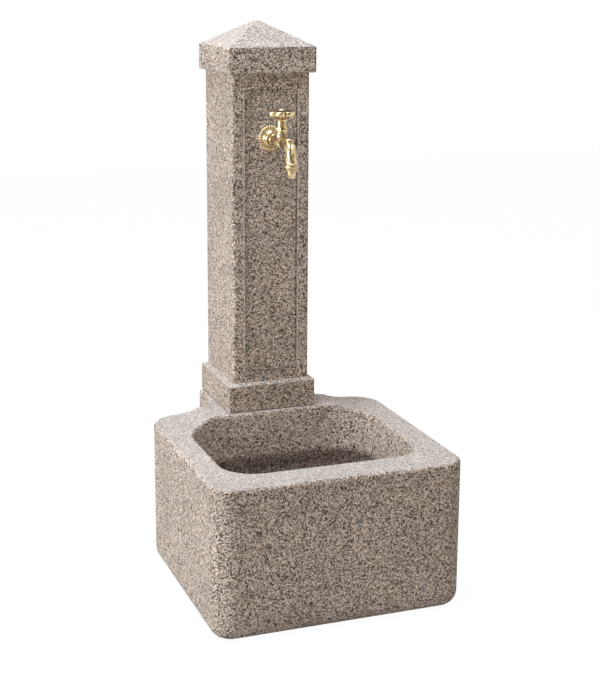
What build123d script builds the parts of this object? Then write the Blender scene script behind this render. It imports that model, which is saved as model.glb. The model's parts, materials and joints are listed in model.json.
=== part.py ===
from build123d import *
import os

os.makedirs("parts", exist_ok=True)

# A free-standing garden fountain: stone basin, stone column, ornamental tap, supply and drain.
# Lengths are in millimetres. X runs across, Y from the front to the back, Z up.
# The origin lies on the ground under the middle of the whole fountain.

# Whole fountain
overall_width = 500
overall_depth = 600
overall_height = 1100

# Basin block
seat_standout = 130
rim_height = 296
front_corner_radius = 42
rear_corner_radius = 62
foot_radius = 30
outer_edge_radius = 7

# Raised seat for the column, behind the block
seat_width = 206
seat_rise = 11
seat_cove_gap = 2
seat_cove_run = 61
seat_cove_share = 0.8
seat_corner_radius = 20
seat_neck_radius = 50
seat_foot_radius = 14

# Bowl
side_rim = 53
front_rim = 75
back_ledge = 9
bowl_depth_share = 0.4055
bowl_wall_lean = 18
bowl_front_corner_radius = 67
bowl_back_corner_radius = 85
bowl_floor_radius = 28
lip_radius = 8

# Hollow underside
underside_wall = 60
floor_slab_share = 0.2027
underside_corner_radius = 34
pipe_bay_width = 96
pipe_bay_corner_radius = 12
rear_wall = 33

# Niche in the rear face, where the supply and the drain end
niche_width = 84
niche_depth = 22
drain_notch_clearance = 3

# Bedding joint and dowels under the column
bedding_thickness = 2
bedding_inset = 3
dowel_radius = 6
dowel_length = 80
dowel_spacing = 136

# Column
plinth_width = 188
plinth_depth = 201
plinth_height = 54
plinth_slope = 5
plinth_back_gap = 1.5
plinth_edge_radius = 5
shaft_width = 164
shaft_depth = 181
shaft_edge_radius = 6
cap_width = 186
cap_depth = 202
cap_band_height = 51
cap_rise = 49
cap_edge_radius = 5
cap_tip_width = 8
cap_tip_radius = 2
cap_soffit_radius = 3

# Framed panel on the column's front
panel_width = 112
panel_foot_gap = 22
panel_head_gap = 32
panel_corner_cut = 16
panel_depth = 4

# Supply pipe in the column
channel_radius = 30
channel_headroom = 34
pipe_radius = 10.65
pipe_bore_radius = 8
pipe_engagement = 12
elbow_leg = 24
elbow_radius = 14
elbow_collar_radius = 16
elbow_collar_length = 7
elbow_bore_radius = 8.5
supply_height_share = 0.304
supply_thread_radius = 10.48
nipple_bore_radius = 7.5
nipple_standout = 19
nipple_free_length = 10
nipple_relief_length = 1.5
nipple_relief_radius = 9.8
locknut_flats = 30
locknut_thickness = 6
inlet_washer_radius = 17
inlet_washer_thickness = 2
wall_clearance = 0.6

# Shared by every piece that fits in a hole of its own size
fit_clearance = 0.05

# Tap, places of its axes
tap_below_panel_top = 98
stem_reach = 65
spout_reach = 120

# Tap extension behind the panel
extension_radius = 13.5
extension_clearance = 1
extension_recess = 2.5
extension_socket_depth = 14
tail_length = 12.5
extension_bore_radius = 7

# Rosette
rosette_radius = 27
rosette_thickness = 8
rosette_rim = 2.5
rosette_crown_radius = 17.5
rosette_bore_clearance = 0.3
rosette_notch_offset = 0.6
rosette_lobes = 16
rosette_notch_radius = 2.2

# Tap body, neck and bulge
neck_flange_radius = 16.5
neck_flange_thickness = 2
neck_flare_length = 13
neck_radius = 10.8
neck_bead_radius = 12
neck_bead_length = 4
bulge_radius = 14
bulge_end_radius = 12.5

# Tap body, valve chamber
chamber_radius = 13.5
chamber_rim_radius = 12
chamber_rise = 14
chamber_shoulder_height = 7
chamber_base_drop = 16
chamber_bore_radius = 9
lower_chamber_radius = 7
port_radius = 5
seat_drop = 0.5
seat_lip_height = 1
seat_lip_width = 1.2
web_thickness = 2.5
lower_chamber_depth = 8.5
waterway_radius = 4.2

# Tap body, spout
arm_radius = 11
arm_drop = 4.5
arm_bend_radius = 20
outlet_radius = 4.4
outlet_rise = 3
outlet_bend_radius = 18
spout_drop = 44.5
spout_ring_radius = 12.8
spout_ring_height = 3.5
spout_thread_radius = 10.2
spout_thread_length = 6
crown_ring_radius = 8.2
crown_ring_height = 8
crown_ring_top = 11
crown_ring_offset = 12
small_round = 1.5

# Headwork
bonnet_thread_radius = 9.6
bonnet_thread_length = 6.5
gasket_thickness = 1
gasket_radius = 11.8
bonnet_neck_radius = 11
bonnet_neck_height = 6.5
bonnet_flats = 23
bonnet_hex_height = 7.5
bonnet_cavity_radius = 7.6
bonnet_cavity_height = 4.5
bonnet_web = 2
gland_thread_radius = 9
gland_thread_length = 5.5
packing_radius = 6.75
packing_height = 5.5
gland_nut_radius = 10.8
gland_nut_height = 17
gland_nose_length = 3
gland_edge_cut = 1
running_clearance = 0.07

# Valve, closed at rest
screw_pitch = 2.5
turns_to_open = 2.5
jumper_disc_radius = 7
jumper_disc_thickness = 2
jumper_stem_radius = 2.8
jumper_stem_length = 9
jumper_stub_radius = 1.5
washer_radius = 6.6
washer_thickness = 3
washer_nut_flats = 5.4
washer_nut_thickness = 2.5

# Spindle
spindle_thread_radius = 5.2
spindle_thread_length = 14
spindle_radius = 3.9
spindle_socket_depth = 10
spindle_square = 5.4
spindle_square_length = 10

# Handwheel
handwheel_gap = 1.5
handwheel_hub_radius = 8.5
handwheel_radius = 27
handwheel_thickness = 14
handwheel_lift = 1
handwheel_lobes = 6
handwheel_lobe_radius = 10
handwheel_web_radius = 17
handwheel_round = 4.5
handwheel_notch_round = 3
handwheel_hub_rise = 2.5
handwheel_web_over_spindle = 1
handwheel_seat_depth = 3.5
screw_head_radius = 4.5
screw_head_height = 2.4
screw_shank_radius = 1.9
screw_length = 10
screw_recess_clearance = 0.5
screw_slot_width = 1
screw_slot_depth = 1

# Union nut and nozzle
nozzle_gasket_thickness = 1.5
nozzle_flange_radius = 10.1
nozzle_flange_thickness = 2
nozzle_radius = 8.5
nozzle_land_length = 8.5
nozzle_neck_radius = 8
nozzle_neck_length = 2.5
nozzle_tip_radius = 6
nozzle_tip_length = 7.5
nozzle_bore_radius = 4.6
union_nut_radius = 12.3
union_nut_lip = 2
union_nut_lip_clearance = 0.4
union_nut_end_gap = 0.3
union_nut_groove = 1
union_nut_groove_width = 1.6
union_nut_ring = 3

# Drain
waste_flange_radius = 35
waste_flange_thickness = 3
waste_gasket_radius = 34
waste_lower_gasket_radius = 30
waste_gasket_thickness = 2
waste_recess_clearance = 2
waste_tail_radius = 20.9
waste_bore_radius = 17
waste_hole_clearance = 1.1
waste_cross_thickness = 4
waste_cross_height = 5
waste_boss_radius = 6
strainer_radius = 24
strainer_thickness = 1.5
strainer_clearance = 0.1
strainer_hole_radius = 2.6
strainer_inner_ring_radius = 9
strainer_outer_ring_radius = 14
strainer_inner_holes = 4
strainer_outer_holes = 8
strainer_screw_radius = 2
strainer_screw_head_radius = 3.6
strainer_screw_head_height = 2
strainer_screw_length = 8
backnut_flats = 56
backnut_thickness = 10
drain_height_share = 0.108
drain_pipe_radius = 20
drain_pipe_bore_radius = 18
drain_pipe_end_gap = 5
drain_spigot_length = 14
drain_groove_width = 2
drain_groove_radius = 19
drain_elbow_radius = 23
drain_bend_share = 0.464
drain_elbow_gap = 3
drain_collar_radius = 25.5
drain_collar_length = 22
drain_engagement = 18
drain_elbow_outlet = 24

# For choosing edges by place and walls by their slope
pick_tolerance = 0.2
upright_share = 0.01

# Places worked out from the sizes above
front_y = -overall_depth / 2
back_y = overall_depth / 2
block_depth = overall_depth - seat_standout
block_back_y = front_y + block_depth
seat_top = rim_height + seat_rise
plinth_bottom = seat_top + bedding_thickness
column_y = back_y - plinth_back_gap - plinth_depth / 2
plinth_front_y = column_y - plinth_depth / 2
shaft_front_y = column_y - shaft_depth / 2
panel_y = shaft_front_y + panel_depth
shaft_bottom = plinth_bottom + plinth_height + plinth_slope
cap_top = overall_height - cap_rise
cap_bottom = cap_top - cap_band_height
panel_bottom = shaft_bottom + panel_foot_gap
panel_top = cap_bottom - panel_head_gap
tap_height = panel_top - tap_below_panel_top
bowl_half_width = overall_width / 2 - side_rim
bowl_front_y = front_y + front_rim
bowl_back_y = plinth_front_y - back_ledge
bowl_y = (bowl_front_y + bowl_back_y) / 2
bowl_depth = rim_height * bowl_depth_share
floor_slab = rim_height * floor_slab_share
supply_height = rim_height * supply_height_share
drain_height = rim_height * drain_height_share
bowl_floor = rim_height - bowl_depth
underside_top = bowl_floor - floor_slab
bay_back_y = back_y - niche_depth - rear_wall
pipe_bay_length = bay_back_y - block_back_y + 2 * underside_wall
drain_notch_radius = drain_pipe_radius + drain_notch_clearance
waste_recess_depth = waste_flange_thickness + waste_gasket_thickness
stem_y = panel_y - stem_reach
spout_y = panel_y - spout_reach


# Outline of the block in plan
def block_outline():
    with BuildSketch(Plane.XY) as outline:
        with Locations((0, front_y + block_depth / 2)):
            Rectangle(overall_width, block_depth)
        fillet(outline.vertices().group_by(Axis.Y)[0], front_corner_radius)
        fillet(outline.vertices().group_by(Axis.Y)[-1], rear_corner_radius)
    return outline.sketch


# Outline of the bowl at a height, drawn in from its edge by an inset
def bowl_outline(height, inset):
    with BuildSketch(Plane.XY.offset(height)) as outline:
        with Locations((0, bowl_y)):
            Rectangle(2 * (bowl_half_width - inset), bowl_back_y - bowl_front_y - 2 * inset)
        fillet(outline.vertices().group_by(Axis.Y)[0], bowl_front_corner_radius)
        fillet(outline.vertices().group_by(Axis.Y)[-1], bowl_back_corner_radius)
    return outline.sketch


# Cutter for the bowl, with drafted walls and a rounded floor
lean_per_height = bowl_wall_lean / bowl_depth
with BuildPart() as bowl_cutter:
    loft(sections=[bowl_outline(bowl_floor, bowl_wall_lean),
                   bowl_outline(seat_top, -seat_rise * lean_per_height)])
    fillet(bowl_cutter.faces().sort_by(Axis.Z)[0].edges(), bowl_floor_radius)

# Basin: block and seat, cut down to the rim, hollowed from above and below
seat_overlap = seat_neck_radius + front_rim
seat_length = back_y - block_back_y + seat_overlap
with BuildPart() as seat_form:
    with BuildSketch(Plane.XY) as seat_plan:
        with Locations((0, back_y - seat_length / 2)):
            Rectangle(seat_width, seat_length)
        fillet(seat_plan.vertices().group_by(Axis.Y)[-1], seat_corner_radius)
    extrude(amount=seat_top)
    seat_foot = seat_form.faces().sort_by(Axis.Z)[0].edges()
    fillet([e for e in seat_foot if e.center().Y > back_y - seat_length + pick_tolerance], seat_foot_radius)

cove_x = bowl_half_width - seat_cove_gap
seat_flat_x = cove_x - seat_cove_run
cove_turn = (cove_x - seat_cove_share * seat_cove_run, rim_height + seat_cove_share * seat_rise)
with BuildPart() as basin:
    add(block_outline())
    extrude(amount=seat_top)
    fillet(basin.faces().sort_by(Axis.Z)[0].edges(), foot_radius)
    add(seat_form.part)
    neck_edges = basin.edges().filter_by(Axis.Z).filter_by(
        lambda e: abs(e.center().Y - block_back_y) < pick_tolerance
        and abs(abs(e.center().X) - seat_width / 2) < pick_tolerance)
    fillet(neck_edges, seat_neck_radius)
    # Down to the rim beside the seat, with an S-shaped cove on each side
    with BuildSketch(Plane.XZ.offset(-back_y)) as shoulder:
        with BuildLine():
            TangentArc((cove_x, rim_height), cove_turn, tangent=(-1, 0))
            TangentArc((seat_flat_x, seat_top), cove_turn, tangent=(1, 0))
            Polyline((seat_flat_x, seat_top), (overall_width, seat_top),
                     (overall_width, rim_height), (cove_x, rim_height))
        make_face()
        mirror(about=Plane.YZ)
    extrude(amount=overall_depth, mode=Mode.SUBTRACT)
    # Down to the rim in front, as far back as the middle of the bowl
    with BuildSketch(Plane.XZ.offset(-bowl_y)) as front_step:
        with Locations((0, rim_height + seat_rise / 2)):
            Rectangle(2 * cove_x, seat_rise)
    extrude(amount=block_depth, mode=Mode.SUBTRACT)
    outer_walls = basin.faces().filter_by(
        lambda f: abs(f.normal_at().Z) < upright_share and abs(f.center().Y - bowl_y) > pick_tolerance)
    top_edges = [e for f in outer_walls for e in f.edges()
                 if e.bounding_box().min.Z > rim_height - pick_tolerance]
    fillet(top_edges, outer_edge_radius)
    # Bowl and its rounded lip
    add(bowl_cutter.part, mode=Mode.SUBTRACT)
    bowl_walls = basin.faces().filter_by(
        lambda f: abs(f.center().X) < bowl_half_width
        and bowl_front_y < f.center().Y < bowl_back_y
        and bowl_floor + bowl_floor_radius < f.center().Z < rim_height - pick_tolerance)
    lip_edges = [e for f in bowl_walls for e in f.edges()
                 if e.bounding_box().min.Z > rim_height - pick_tolerance]
    fillet(lip_edges, lip_radius)
    # Hollow underside and the bay below the column
    with BuildSketch(Plane.XY) as underside:
        with Locations((0, front_y + block_depth / 2)):
            RectangleRounded(overall_width - 2 * underside_wall, block_depth - 2 * underside_wall,
                             underside_corner_radius)
    extrude(amount=underside_top, mode=Mode.SUBTRACT)
    with BuildSketch(Plane.XY) as pipe_bay:
        with Locations((0, bay_back_y - pipe_bay_length / 2)):
            RectangleRounded(pipe_bay_width, pipe_bay_length, pipe_bay_corner_radius)
    extrude(amount=underside_top, mode=Mode.SUBTRACT)
    # Pipe shaft up to the seat, and the dowel holes
    with BuildSketch(Plane.XY.offset(underside_top)) as pipe_shaft:
        with Locations((0, column_y)):
            Circle(channel_radius)
    extrude(amount=seat_top - underside_top, mode=Mode.SUBTRACT)
    with BuildSketch(Plane.XY.offset(seat_top)) as dowel_holes:
        with Locations((0, column_y)):
            with GridLocations(dowel_spacing, 0, 2, 1):
                Circle(dowel_radius + fit_clearance)
    extrude(amount=-dowel_length / 2, mode=Mode.SUBTRACT)
    # Rear niche, supply hole and drain notch
    with BuildSketch(Plane.XZ.offset(-back_y)) as niche:
        with Locations((0, supply_height / 2)):
            Rectangle(niche_width, supply_height)
        with Locations((0, supply_height)):
            Circle(niche_width / 2)
    extrude(amount=niche_depth, mode=Mode.SUBTRACT)
    with BuildSketch(Plane.XZ.offset(niche_depth - back_y)) as wall_holes:
        with Locations((0, supply_height)):
            Circle(supply_thread_radius + wall_clearance)
        with Locations((0, drain_height / 2)):
            Rectangle(2 * drain_notch_radius, drain_height)
        with Locations((0, drain_height)):
            Circle(drain_notch_radius)
    extrude(amount=rear_wall, mode=Mode.SUBTRACT)
    # Drain hole and the recess of its flange
    with BuildSketch(Plane.XY.offset(bowl_floor)) as waste_recess:
        with Locations((0, bowl_y)):
            Circle(waste_flange_radius + waste_recess_clearance)
    extrude(amount=-waste_recess_depth, mode=Mode.SUBTRACT)
    with BuildSketch(Plane.XY.offset(bowl_floor)) as waste_hole:
        with Locations((0, bowl_y)):
            Circle(waste_tail_radius + waste_hole_clearance)
    extrude(amount=-floor_slab, mode=Mode.SUBTRACT)
basin.part.label = "basin"
export_step(basin.part, "parts/basin.step")

# Mortar bed under the plinth
with BuildPart() as bedding_joint:
    with BuildSketch(Plane.XY.offset(seat_top)) as bed:
        with Locations((0, column_y)):
            RectangleRounded(plinth_width - 2 * bedding_inset, plinth_depth - 2 * bedding_inset,
                             plinth_edge_radius)
            Circle(channel_radius, mode=Mode.SUBTRACT)
            with GridLocations(dowel_spacing, 0, 2, 1):
                Circle(dowel_radius + fit_clearance, mode=Mode.SUBTRACT)
    extrude(amount=bedding_thickness)
bedding_joint.part.label = "bedding_joint"
export_step(bedding_joint.part, "parts/bedding_joint.step")

# Two dowels, half in the seat and half in the column
with BuildPart() as column_dowels:
    with BuildSketch(Plane.XY.offset(seat_top - dowel_length / 2)) as dowel_ends:
        with Locations((0, column_y)):
            with GridLocations(dowel_spacing, 0, 2, 1):
                Circle(dowel_radius)
    extrude(amount=dowel_length + bedding_thickness)
column_dowels.part.label = "column_dowels"
export_step(column_dowels.part, "parts/column_dowels.step")


# Rectangle centred on the column at a height
def column_section(height, width, depth, edge_radius):
    with BuildSketch(Plane.XY.offset(height)) as section:
        with Locations((0, column_y)):
            RectangleRounded(width, depth, edge_radius)
    return section.sketch


# Column: plinth, shaft, cap and pyramid, with the framed panel and the pipe channel
with BuildPart() as column:
    add(column_section(plinth_bottom, plinth_width, plinth_depth, plinth_edge_radius))
    extrude(amount=plinth_height)
    loft(sections=[column_section(plinth_bottom + plinth_height, plinth_width, plinth_depth, plinth_edge_radius),
                   column_section(shaft_bottom, shaft_width, shaft_depth, shaft_edge_radius)])
    add(column_section(shaft_bottom, shaft_width, shaft_depth, shaft_edge_radius))
    extrude(amount=cap_bottom - shaft_bottom)
    add(column_section(cap_bottom, cap_width, cap_depth, cap_edge_radius))
    extrude(amount=cap_band_height)
    fillet(column.faces().filter_by(Axis.Z).filter_by(
        lambda f: abs(f.center().Z - cap_bottom) < pick_tolerance).sort_by(Axis.Z)[0].outer_wire().edges(),
        cap_soffit_radius)
    loft(sections=[column_section(cap_top, cap_width, cap_depth, cap_edge_radius),
                   column_section(overall_height, cap_tip_width, cap_tip_width, cap_tip_radius)])
    # Framed panel with cut corners
    with BuildSketch(Plane.XZ.offset(-shaft_front_y)) as panel:
        with Locations((0, (panel_bottom + panel_top) / 2)):
            Rectangle(panel_width, panel_top - panel_bottom)
        chamfer(panel.vertices(), panel_corner_cut)
    extrude(amount=-panel_depth, mode=Mode.SUBTRACT)
    # Channel for the riser and the bore for the tap's extension
    with BuildSketch(Plane.XY.offset(plinth_bottom)) as channel:
        with Locations((0, column_y)):
            Circle(channel_radius)
    extrude(amount=tap_height + channel_headroom - plinth_bottom, mode=Mode.SUBTRACT)
    with BuildSketch(Plane.XZ.offset(-panel_y)) as tap_bore:
        with Locations((0, tap_height)):
            Circle(extension_radius + extension_clearance)
    extrude(amount=panel_y - column_y, mode=Mode.SUBTRACT)
    with BuildSketch(Plane.XY.offset(plinth_bottom)) as plinth_dowel_holes:
        with Locations((0, column_y)):
            with GridLocations(dowel_spacing, 0, 2, 1):
                Circle(dowel_radius + fit_clearance)
    extrude(amount=dowel_length / 2, mode=Mode.SUBTRACT)
column.part.label = "column"
export_step(column.part, "parts/column.step")


# Threaded elbow with a collar and a socket on each leg
def pipe_elbow(centre, directions):
    with BuildPart() as elbow:
        with Locations(centre):
            Sphere(elbow_radius)
        for direction in directions:
            leg = Plane(origin=centre, z_dir=direction)
            with BuildSketch(leg):
                Circle(elbow_radius)
            extrude(amount=elbow_leg)
            with BuildSketch(leg.offset(elbow_leg - elbow_collar_length)):
                Circle(elbow_collar_radius)
            extrude(amount=elbow_collar_length)
        with Locations(centre):
            Sphere(elbow_bore_radius, mode=Mode.SUBTRACT)
        for direction in directions:
            leg = Plane(origin=centre, z_dir=direction)
            with BuildSketch(leg):
                Circle(elbow_bore_radius)
            extrude(amount=elbow_leg, mode=Mode.SUBTRACT)
            with BuildSketch(leg.offset(elbow_leg - pipe_engagement)):
                Circle(supply_thread_radius + fit_clearance)
            extrude(amount=pipe_engagement, mode=Mode.SUBTRACT)
    return elbow.part


# Elbow at the foot of the riser, open upwards and to the back
with BuildPart() as lower_elbow:
    add(pipe_elbow((0, column_y, supply_height), ((0, 0, 1), (0, 1, 0))))
lower_elbow.part.label = "lower_elbow"
export_step(lower_elbow.part, "parts/lower_elbow.step")

# Elbow behind the tap, open downwards and to the front
with BuildPart() as upper_elbow:
    add(pipe_elbow((0, column_y, tap_height), ((0, 0, -1), (0, -1, 0))))
upper_elbow.part.label = "upper_elbow"
export_step(upper_elbow.part, "parts/upper_elbow.step")

# Riser pipe between the two elbows, with a thread on each end
riser_bottom = supply_height + elbow_leg
riser_top = tap_height - elbow_leg
riser_plane = Plane(origin=(0, column_y, 0), x_dir=(1, 0, 0), z_dir=(0, -1, 0))
with BuildPart() as riser_pipe:
    with BuildSketch(riser_plane):
        with BuildLine():
            Polyline((pipe_bore_radius, riser_bottom - pipe_engagement),
                     (supply_thread_radius, riser_bottom - pipe_engagement),
                     (supply_thread_radius, riser_bottom),
                     (pipe_radius, riser_bottom),
                     (pipe_radius, riser_top),
                     (supply_thread_radius, riser_top),
                     (supply_thread_radius, riser_top + pipe_engagement),
                     (pipe_bore_radius, riser_top + pipe_engagement),
                     close=True)
        make_face()
    revolve(axis=Axis((0, column_y, 0), (0, 0, 1)))
riser_pipe.part.label = "riser_pipe"
export_step(riser_pipe.part, "parts/riser_pipe.step")

# Nipple through the rear wall, with a free threaded end in the niche
niche_floor_y = back_y - niche_depth
nipple_front_y = column_y + elbow_leg - pipe_engagement
nipple_back_y = niche_floor_y + nipple_standout
relief_back_y = nipple_back_y - nipple_free_length
relief_front_y = relief_back_y - nipple_relief_length
nipple_plane = Plane(origin=(0, 0, supply_height), x_dir=(0, 1, 0), z_dir=(1, 0, 0))
nipple_axis = Axis((0, 0, supply_height), (0, 1, 0))
with BuildPart() as inlet_nipple:
    with BuildSketch(nipple_plane):
        with BuildLine():
            Polyline((nipple_front_y, nipple_bore_radius),
                     (nipple_front_y, supply_thread_radius),
                     (relief_front_y, supply_thread_radius),
                     (relief_front_y, nipple_relief_radius),
                     (relief_back_y, nipple_relief_radius),
                     (relief_back_y, supply_thread_radius),
                     (nipple_back_y, supply_thread_radius),
                     (nipple_back_y, nipple_bore_radius),
                     close=True)
        make_face()
    revolve(axis=nipple_axis)
inlet_nipple.part.label = "inlet_nipple"
export_step(inlet_nipple.part, "parts/inlet_nipple.step")

# A washer and a locknut on each face of the rear wall
with BuildPart() as inlet_washers:
    for wall_y in (bay_back_y, niche_floor_y + inlet_washer_thickness):
        with BuildSketch(Plane.XZ.offset(-wall_y)):
            with Locations((0, supply_height)):
                Circle(inlet_washer_radius)
                Circle(supply_thread_radius + fit_clearance, mode=Mode.SUBTRACT)
        extrude(amount=inlet_washer_thickness)
inlet_washers.part.label = "inlet_washers"
export_step(inlet_washers.part, "parts/inlet_washers.step")

with BuildPart() as inlet_locknuts:
    for nut_y in (bay_back_y - inlet_washer_thickness,
                  niche_floor_y + inlet_washer_thickness + locknut_thickness):
        with BuildSketch(Plane.XZ.offset(-nut_y)):
            with Locations((0, supply_height)):
                RegularPolygon(locknut_flats / 2, 6, major_radius=False)
                Circle(supply_thread_radius + fit_clearance, mode=Mode.SUBTRACT)
        extrude(amount=locknut_thickness)
inlet_locknuts.part.label = "inlet_locknuts"
export_step(inlet_locknuts.part, "parts/inlet_locknuts.step")

# Plane along the tap's level axis: first value forward from the panel, second value outward
neck_plane = Plane(origin=(0, panel_y, tap_height), x_dir=(0, -1, 0), z_dir=(-1, 0, 0))
neck_axis = Axis((0, panel_y, tap_height), (0, -1, 0))

# Extension from the elbow to the back of the panel
extension_front = -extension_recess
extension_back = panel_y - column_y + elbow_leg
with BuildPart() as tap_extension:
    with BuildSketch(neck_plane):
        with BuildLine():
            Polyline((extension_front, supply_thread_radius + fit_clearance),
                     (extension_front, extension_radius),
                     (extension_back, extension_radius),
                     (extension_back, supply_thread_radius),
                     (extension_back - pipe_engagement, supply_thread_radius),
                     (extension_back - pipe_engagement, extension_bore_radius),
                     (extension_front - extension_socket_depth, extension_bore_radius),
                     (extension_front - extension_socket_depth, supply_thread_radius + fit_clearance),
                     close=True)
        make_face()
    revolve(axis=neck_axis)
tap_extension.part.label = "tap_extension"
export_step(tap_extension.part, "parts/tap_extension.step")

# Rosette: domed plate with a scalloped rim
with BuildPart() as rosette:
    with BuildSketch(neck_plane):
        with BuildLine():
            TangentArc((rosette_thickness, rosette_crown_radius), (rosette_rim, rosette_radius), tangent=(0, 1))
            Polyline((rosette_rim, rosette_radius), (0, rosette_radius),
                     (0, supply_thread_radius + rosette_bore_clearance),
                     (rosette_thickness, supply_thread_radius + rosette_bore_clearance),
                     (rosette_thickness, rosette_crown_radius))
        make_face()
    revolve(axis=neck_axis)
    with BuildSketch(Plane.XZ.offset(-panel_y)):
        with Locations((0, tap_height)):
            with PolarLocations(rosette_radius + rosette_notch_offset, rosette_lobes, start_angle=90):
                Circle(rosette_notch_radius)
    extrude(amount=rosette_thickness, mode=Mode.SUBTRACT)
rosette.part.label = "rosette"
export_step(rosette.part, "parts/rosette.step")

# Levels on the stem, from the valve seat upwards
seat_z = tap_height - seat_drop
web_top = seat_z - seat_lip_height
web_bottom = web_top - web_thickness
lower_chamber_bottom = web_bottom - lower_chamber_depth
body_top = tap_height + chamber_rise
disc_bottom = seat_z + washer_thickness
disc_top = disc_bottom + jumper_disc_thickness
bonnet_bottom = body_top - bonnet_thread_length
cavity_top = bonnet_bottom + bonnet_cavity_height
bonnet_shoulder = body_top + gasket_thickness
hex_bottom = bonnet_shoulder + bonnet_neck_height
hex_top = hex_bottom + bonnet_hex_height
valve_lift = screw_pitch * turns_to_open
spindle_bottom = disc_top + running_clearance
thread_top = spindle_bottom + spindle_thread_length
bonnet_stop = thread_top + valve_lift + running_clearance
packing_bottom = bonnet_stop + bonnet_web
packing_top = packing_bottom + packing_height
gland_top = hex_top + gland_nut_height
wheel_bottom = gland_top + handwheel_gap
spindle_shoulder = wheel_bottom + handwheel_seat_depth
spindle_top = spindle_shoulder + spindle_square_length
stem_plane = Plane(origin=(0, stem_y, 0), x_dir=(1, 0, 0), z_dir=(0, -1, 0))
stem_axis = Axis((0, stem_y, 0), (0, 0, 1))

# Levels on the spout, from its end upwards
spout_end = tap_height - spout_drop
spout_ring_bottom = spout_end + spout_thread_length
spout_ring_top = spout_ring_bottom + spout_ring_height

# Stations along the tap body's neck, forward from the panel
flange_front = rosette_thickness + neck_flange_thickness
flare_end = flange_front + neck_flare_length
bead_end = flare_end + neck_bead_length
bulge_middle = (bead_end + stem_reach) / 2

# Tap body: tail, flared neck, bulge, valve chamber, arm and spout, cored for the water
tail_end = extension_front - tail_length
with BuildPart() as tap_body:
    with BuildSketch(neck_plane):
        with BuildLine():
            Polyline((stem_reach, 0), (tail_end, 0), (tail_end, supply_thread_radius),
                     (rosette_thickness, supply_thread_radius), (rosette_thickness, neck_flange_radius),
                     (flange_front, neck_flange_radius))
            TangentArc((flare_end, neck_radius), (flange_front, neck_flange_radius), tangent=(-1, 0))
            ThreePointArc((flare_end, neck_radius),
                          ((flare_end + bead_end) / 2, neck_bead_radius), (bead_end, neck_radius))
            ThreePointArc((bead_end, neck_radius), (bulge_middle, bulge_radius),
                          (stem_reach, bulge_end_radius))
            Line((stem_reach, bulge_end_radius), (stem_reach, 0))
        make_face()
    revolve(axis=neck_axis)
    # Valve chamber with a round base and a narrower rim
    chamber_centre = tap_height - chamber_base_drop + chamber_radius
    chamber_shoulder = tap_height + chamber_shoulder_height
    with BuildSketch(stem_plane):
        with BuildLine():
            CenterArc((0, chamber_centre), chamber_radius, -90, 90)
            Polyline((chamber_radius, chamber_centre), (chamber_radius, chamber_shoulder),
                     (chamber_rim_radius, chamber_shoulder + chamber_radius - chamber_rim_radius),
                     (chamber_rim_radius, body_top), (0, body_top),
                     (0, chamber_centre - chamber_radius))
        make_face()
    revolve(axis=stem_axis)
    # Arm and spout
    with BuildLine(Plane.YZ) as arm_line:
        FilletPolyline((stem_y, tap_height), (spout_y, tap_height - arm_drop), (spout_y, spout_ring_top),
                       radius=arm_bend_radius)
    with BuildSketch(Plane(origin=arm_line.line @ 0, z_dir=arm_line.line % 0)):
        Circle(arm_radius)
    sweep()
    for bottom, height, radius in ((spout_ring_bottom, spout_ring_height, spout_ring_radius),
                                   (spout_end, spout_thread_length, spout_thread_radius)):
        with BuildSketch(Plane.XY.offset(bottom)):
            with Locations((0, spout_y)):
                Circle(radius)
        extrude(amount=height)
    with BuildSketch(Plane.XY.offset(tap_height + crown_ring_top - crown_ring_height)):
        with Locations((0, spout_y + crown_ring_offset)):
            Circle(crown_ring_radius)
    extrude(amount=crown_ring_height)
    fillet(tap_body.edges().filter_by(GeomType.CIRCLE).filter_by(
        lambda e: abs(e.center().Z - tap_height - crown_ring_top) < pick_tolerance
        and abs(e.radius - crown_ring_radius) < pick_tolerance), small_round)
    # Waterway in, below the seat
    inlet_level = lower_chamber_bottom + waterway_radius
    with BuildLine(Plane.YZ) as inlet_line:
        FilletPolyline((panel_y - tail_end, tap_height), (stem_y + 2 * bulge_end_radius, tap_height),
                       (stem_y + chamber_radius, inlet_level), (stem_y, inlet_level),
                       radius=waterway_radius + small_round)
    with BuildSketch(Plane(origin=inlet_line.line @ 0, z_dir=inlet_line.line % 0)):
        Circle(waterway_radius)
    sweep(mode=Mode.SUBTRACT)
    for bottom, top, radius in ((lower_chamber_bottom, web_bottom, lower_chamber_radius),
                                (web_bottom, web_top, port_radius),
                                (web_top, bonnet_bottom, chamber_bore_radius),
                                (bonnet_bottom, body_top, bonnet_thread_radius + fit_clearance)):
        with BuildSketch(Plane.XY.offset(bottom)):
            with Locations((0, stem_y)):
                Circle(radius)
        extrude(amount=top - bottom, mode=Mode.SUBTRACT)
    # Waterway out, above the seat
    with BuildLine(Plane.YZ) as outlet_line:
        FilletPolyline((stem_y, tap_height + outlet_rise), (spout_y, tap_height - arm_drop),
                       (spout_y, spout_end), radius=outlet_bend_radius)
    with BuildSketch(Plane(origin=outlet_line.line @ 0, z_dir=outlet_line.line % 0)):
        Circle(outlet_radius)
    sweep(mode=Mode.SUBTRACT)
    # Raised lip of the valve seat
    with BuildSketch(Plane.XY.offset(web_top)):
        with Locations((0, stem_y)):
            Circle(port_radius + seat_lip_width)
            Circle(port_radius, mode=Mode.SUBTRACT)
    extrude(amount=seat_lip_height)
tap_body.part.label = "tap_body"
export_step(tap_body.part, "parts/tap_body.step")


# Plane across the stem at a height
def stem_level(height):
    return Plane(origin=(0, stem_y, height), x_dir=(1, 0, 0), z_dir=(0, 0, 1))


# Plain ring standing on a plane
def plain_ring(plane, outer_radius, inner_radius, height):
    with BuildPart() as ring:
        with BuildSketch(plane):
            Circle(outer_radius)
            Circle(inner_radius, mode=Mode.SUBTRACT)
        extrude(amount=height)
    return ring.part


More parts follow.
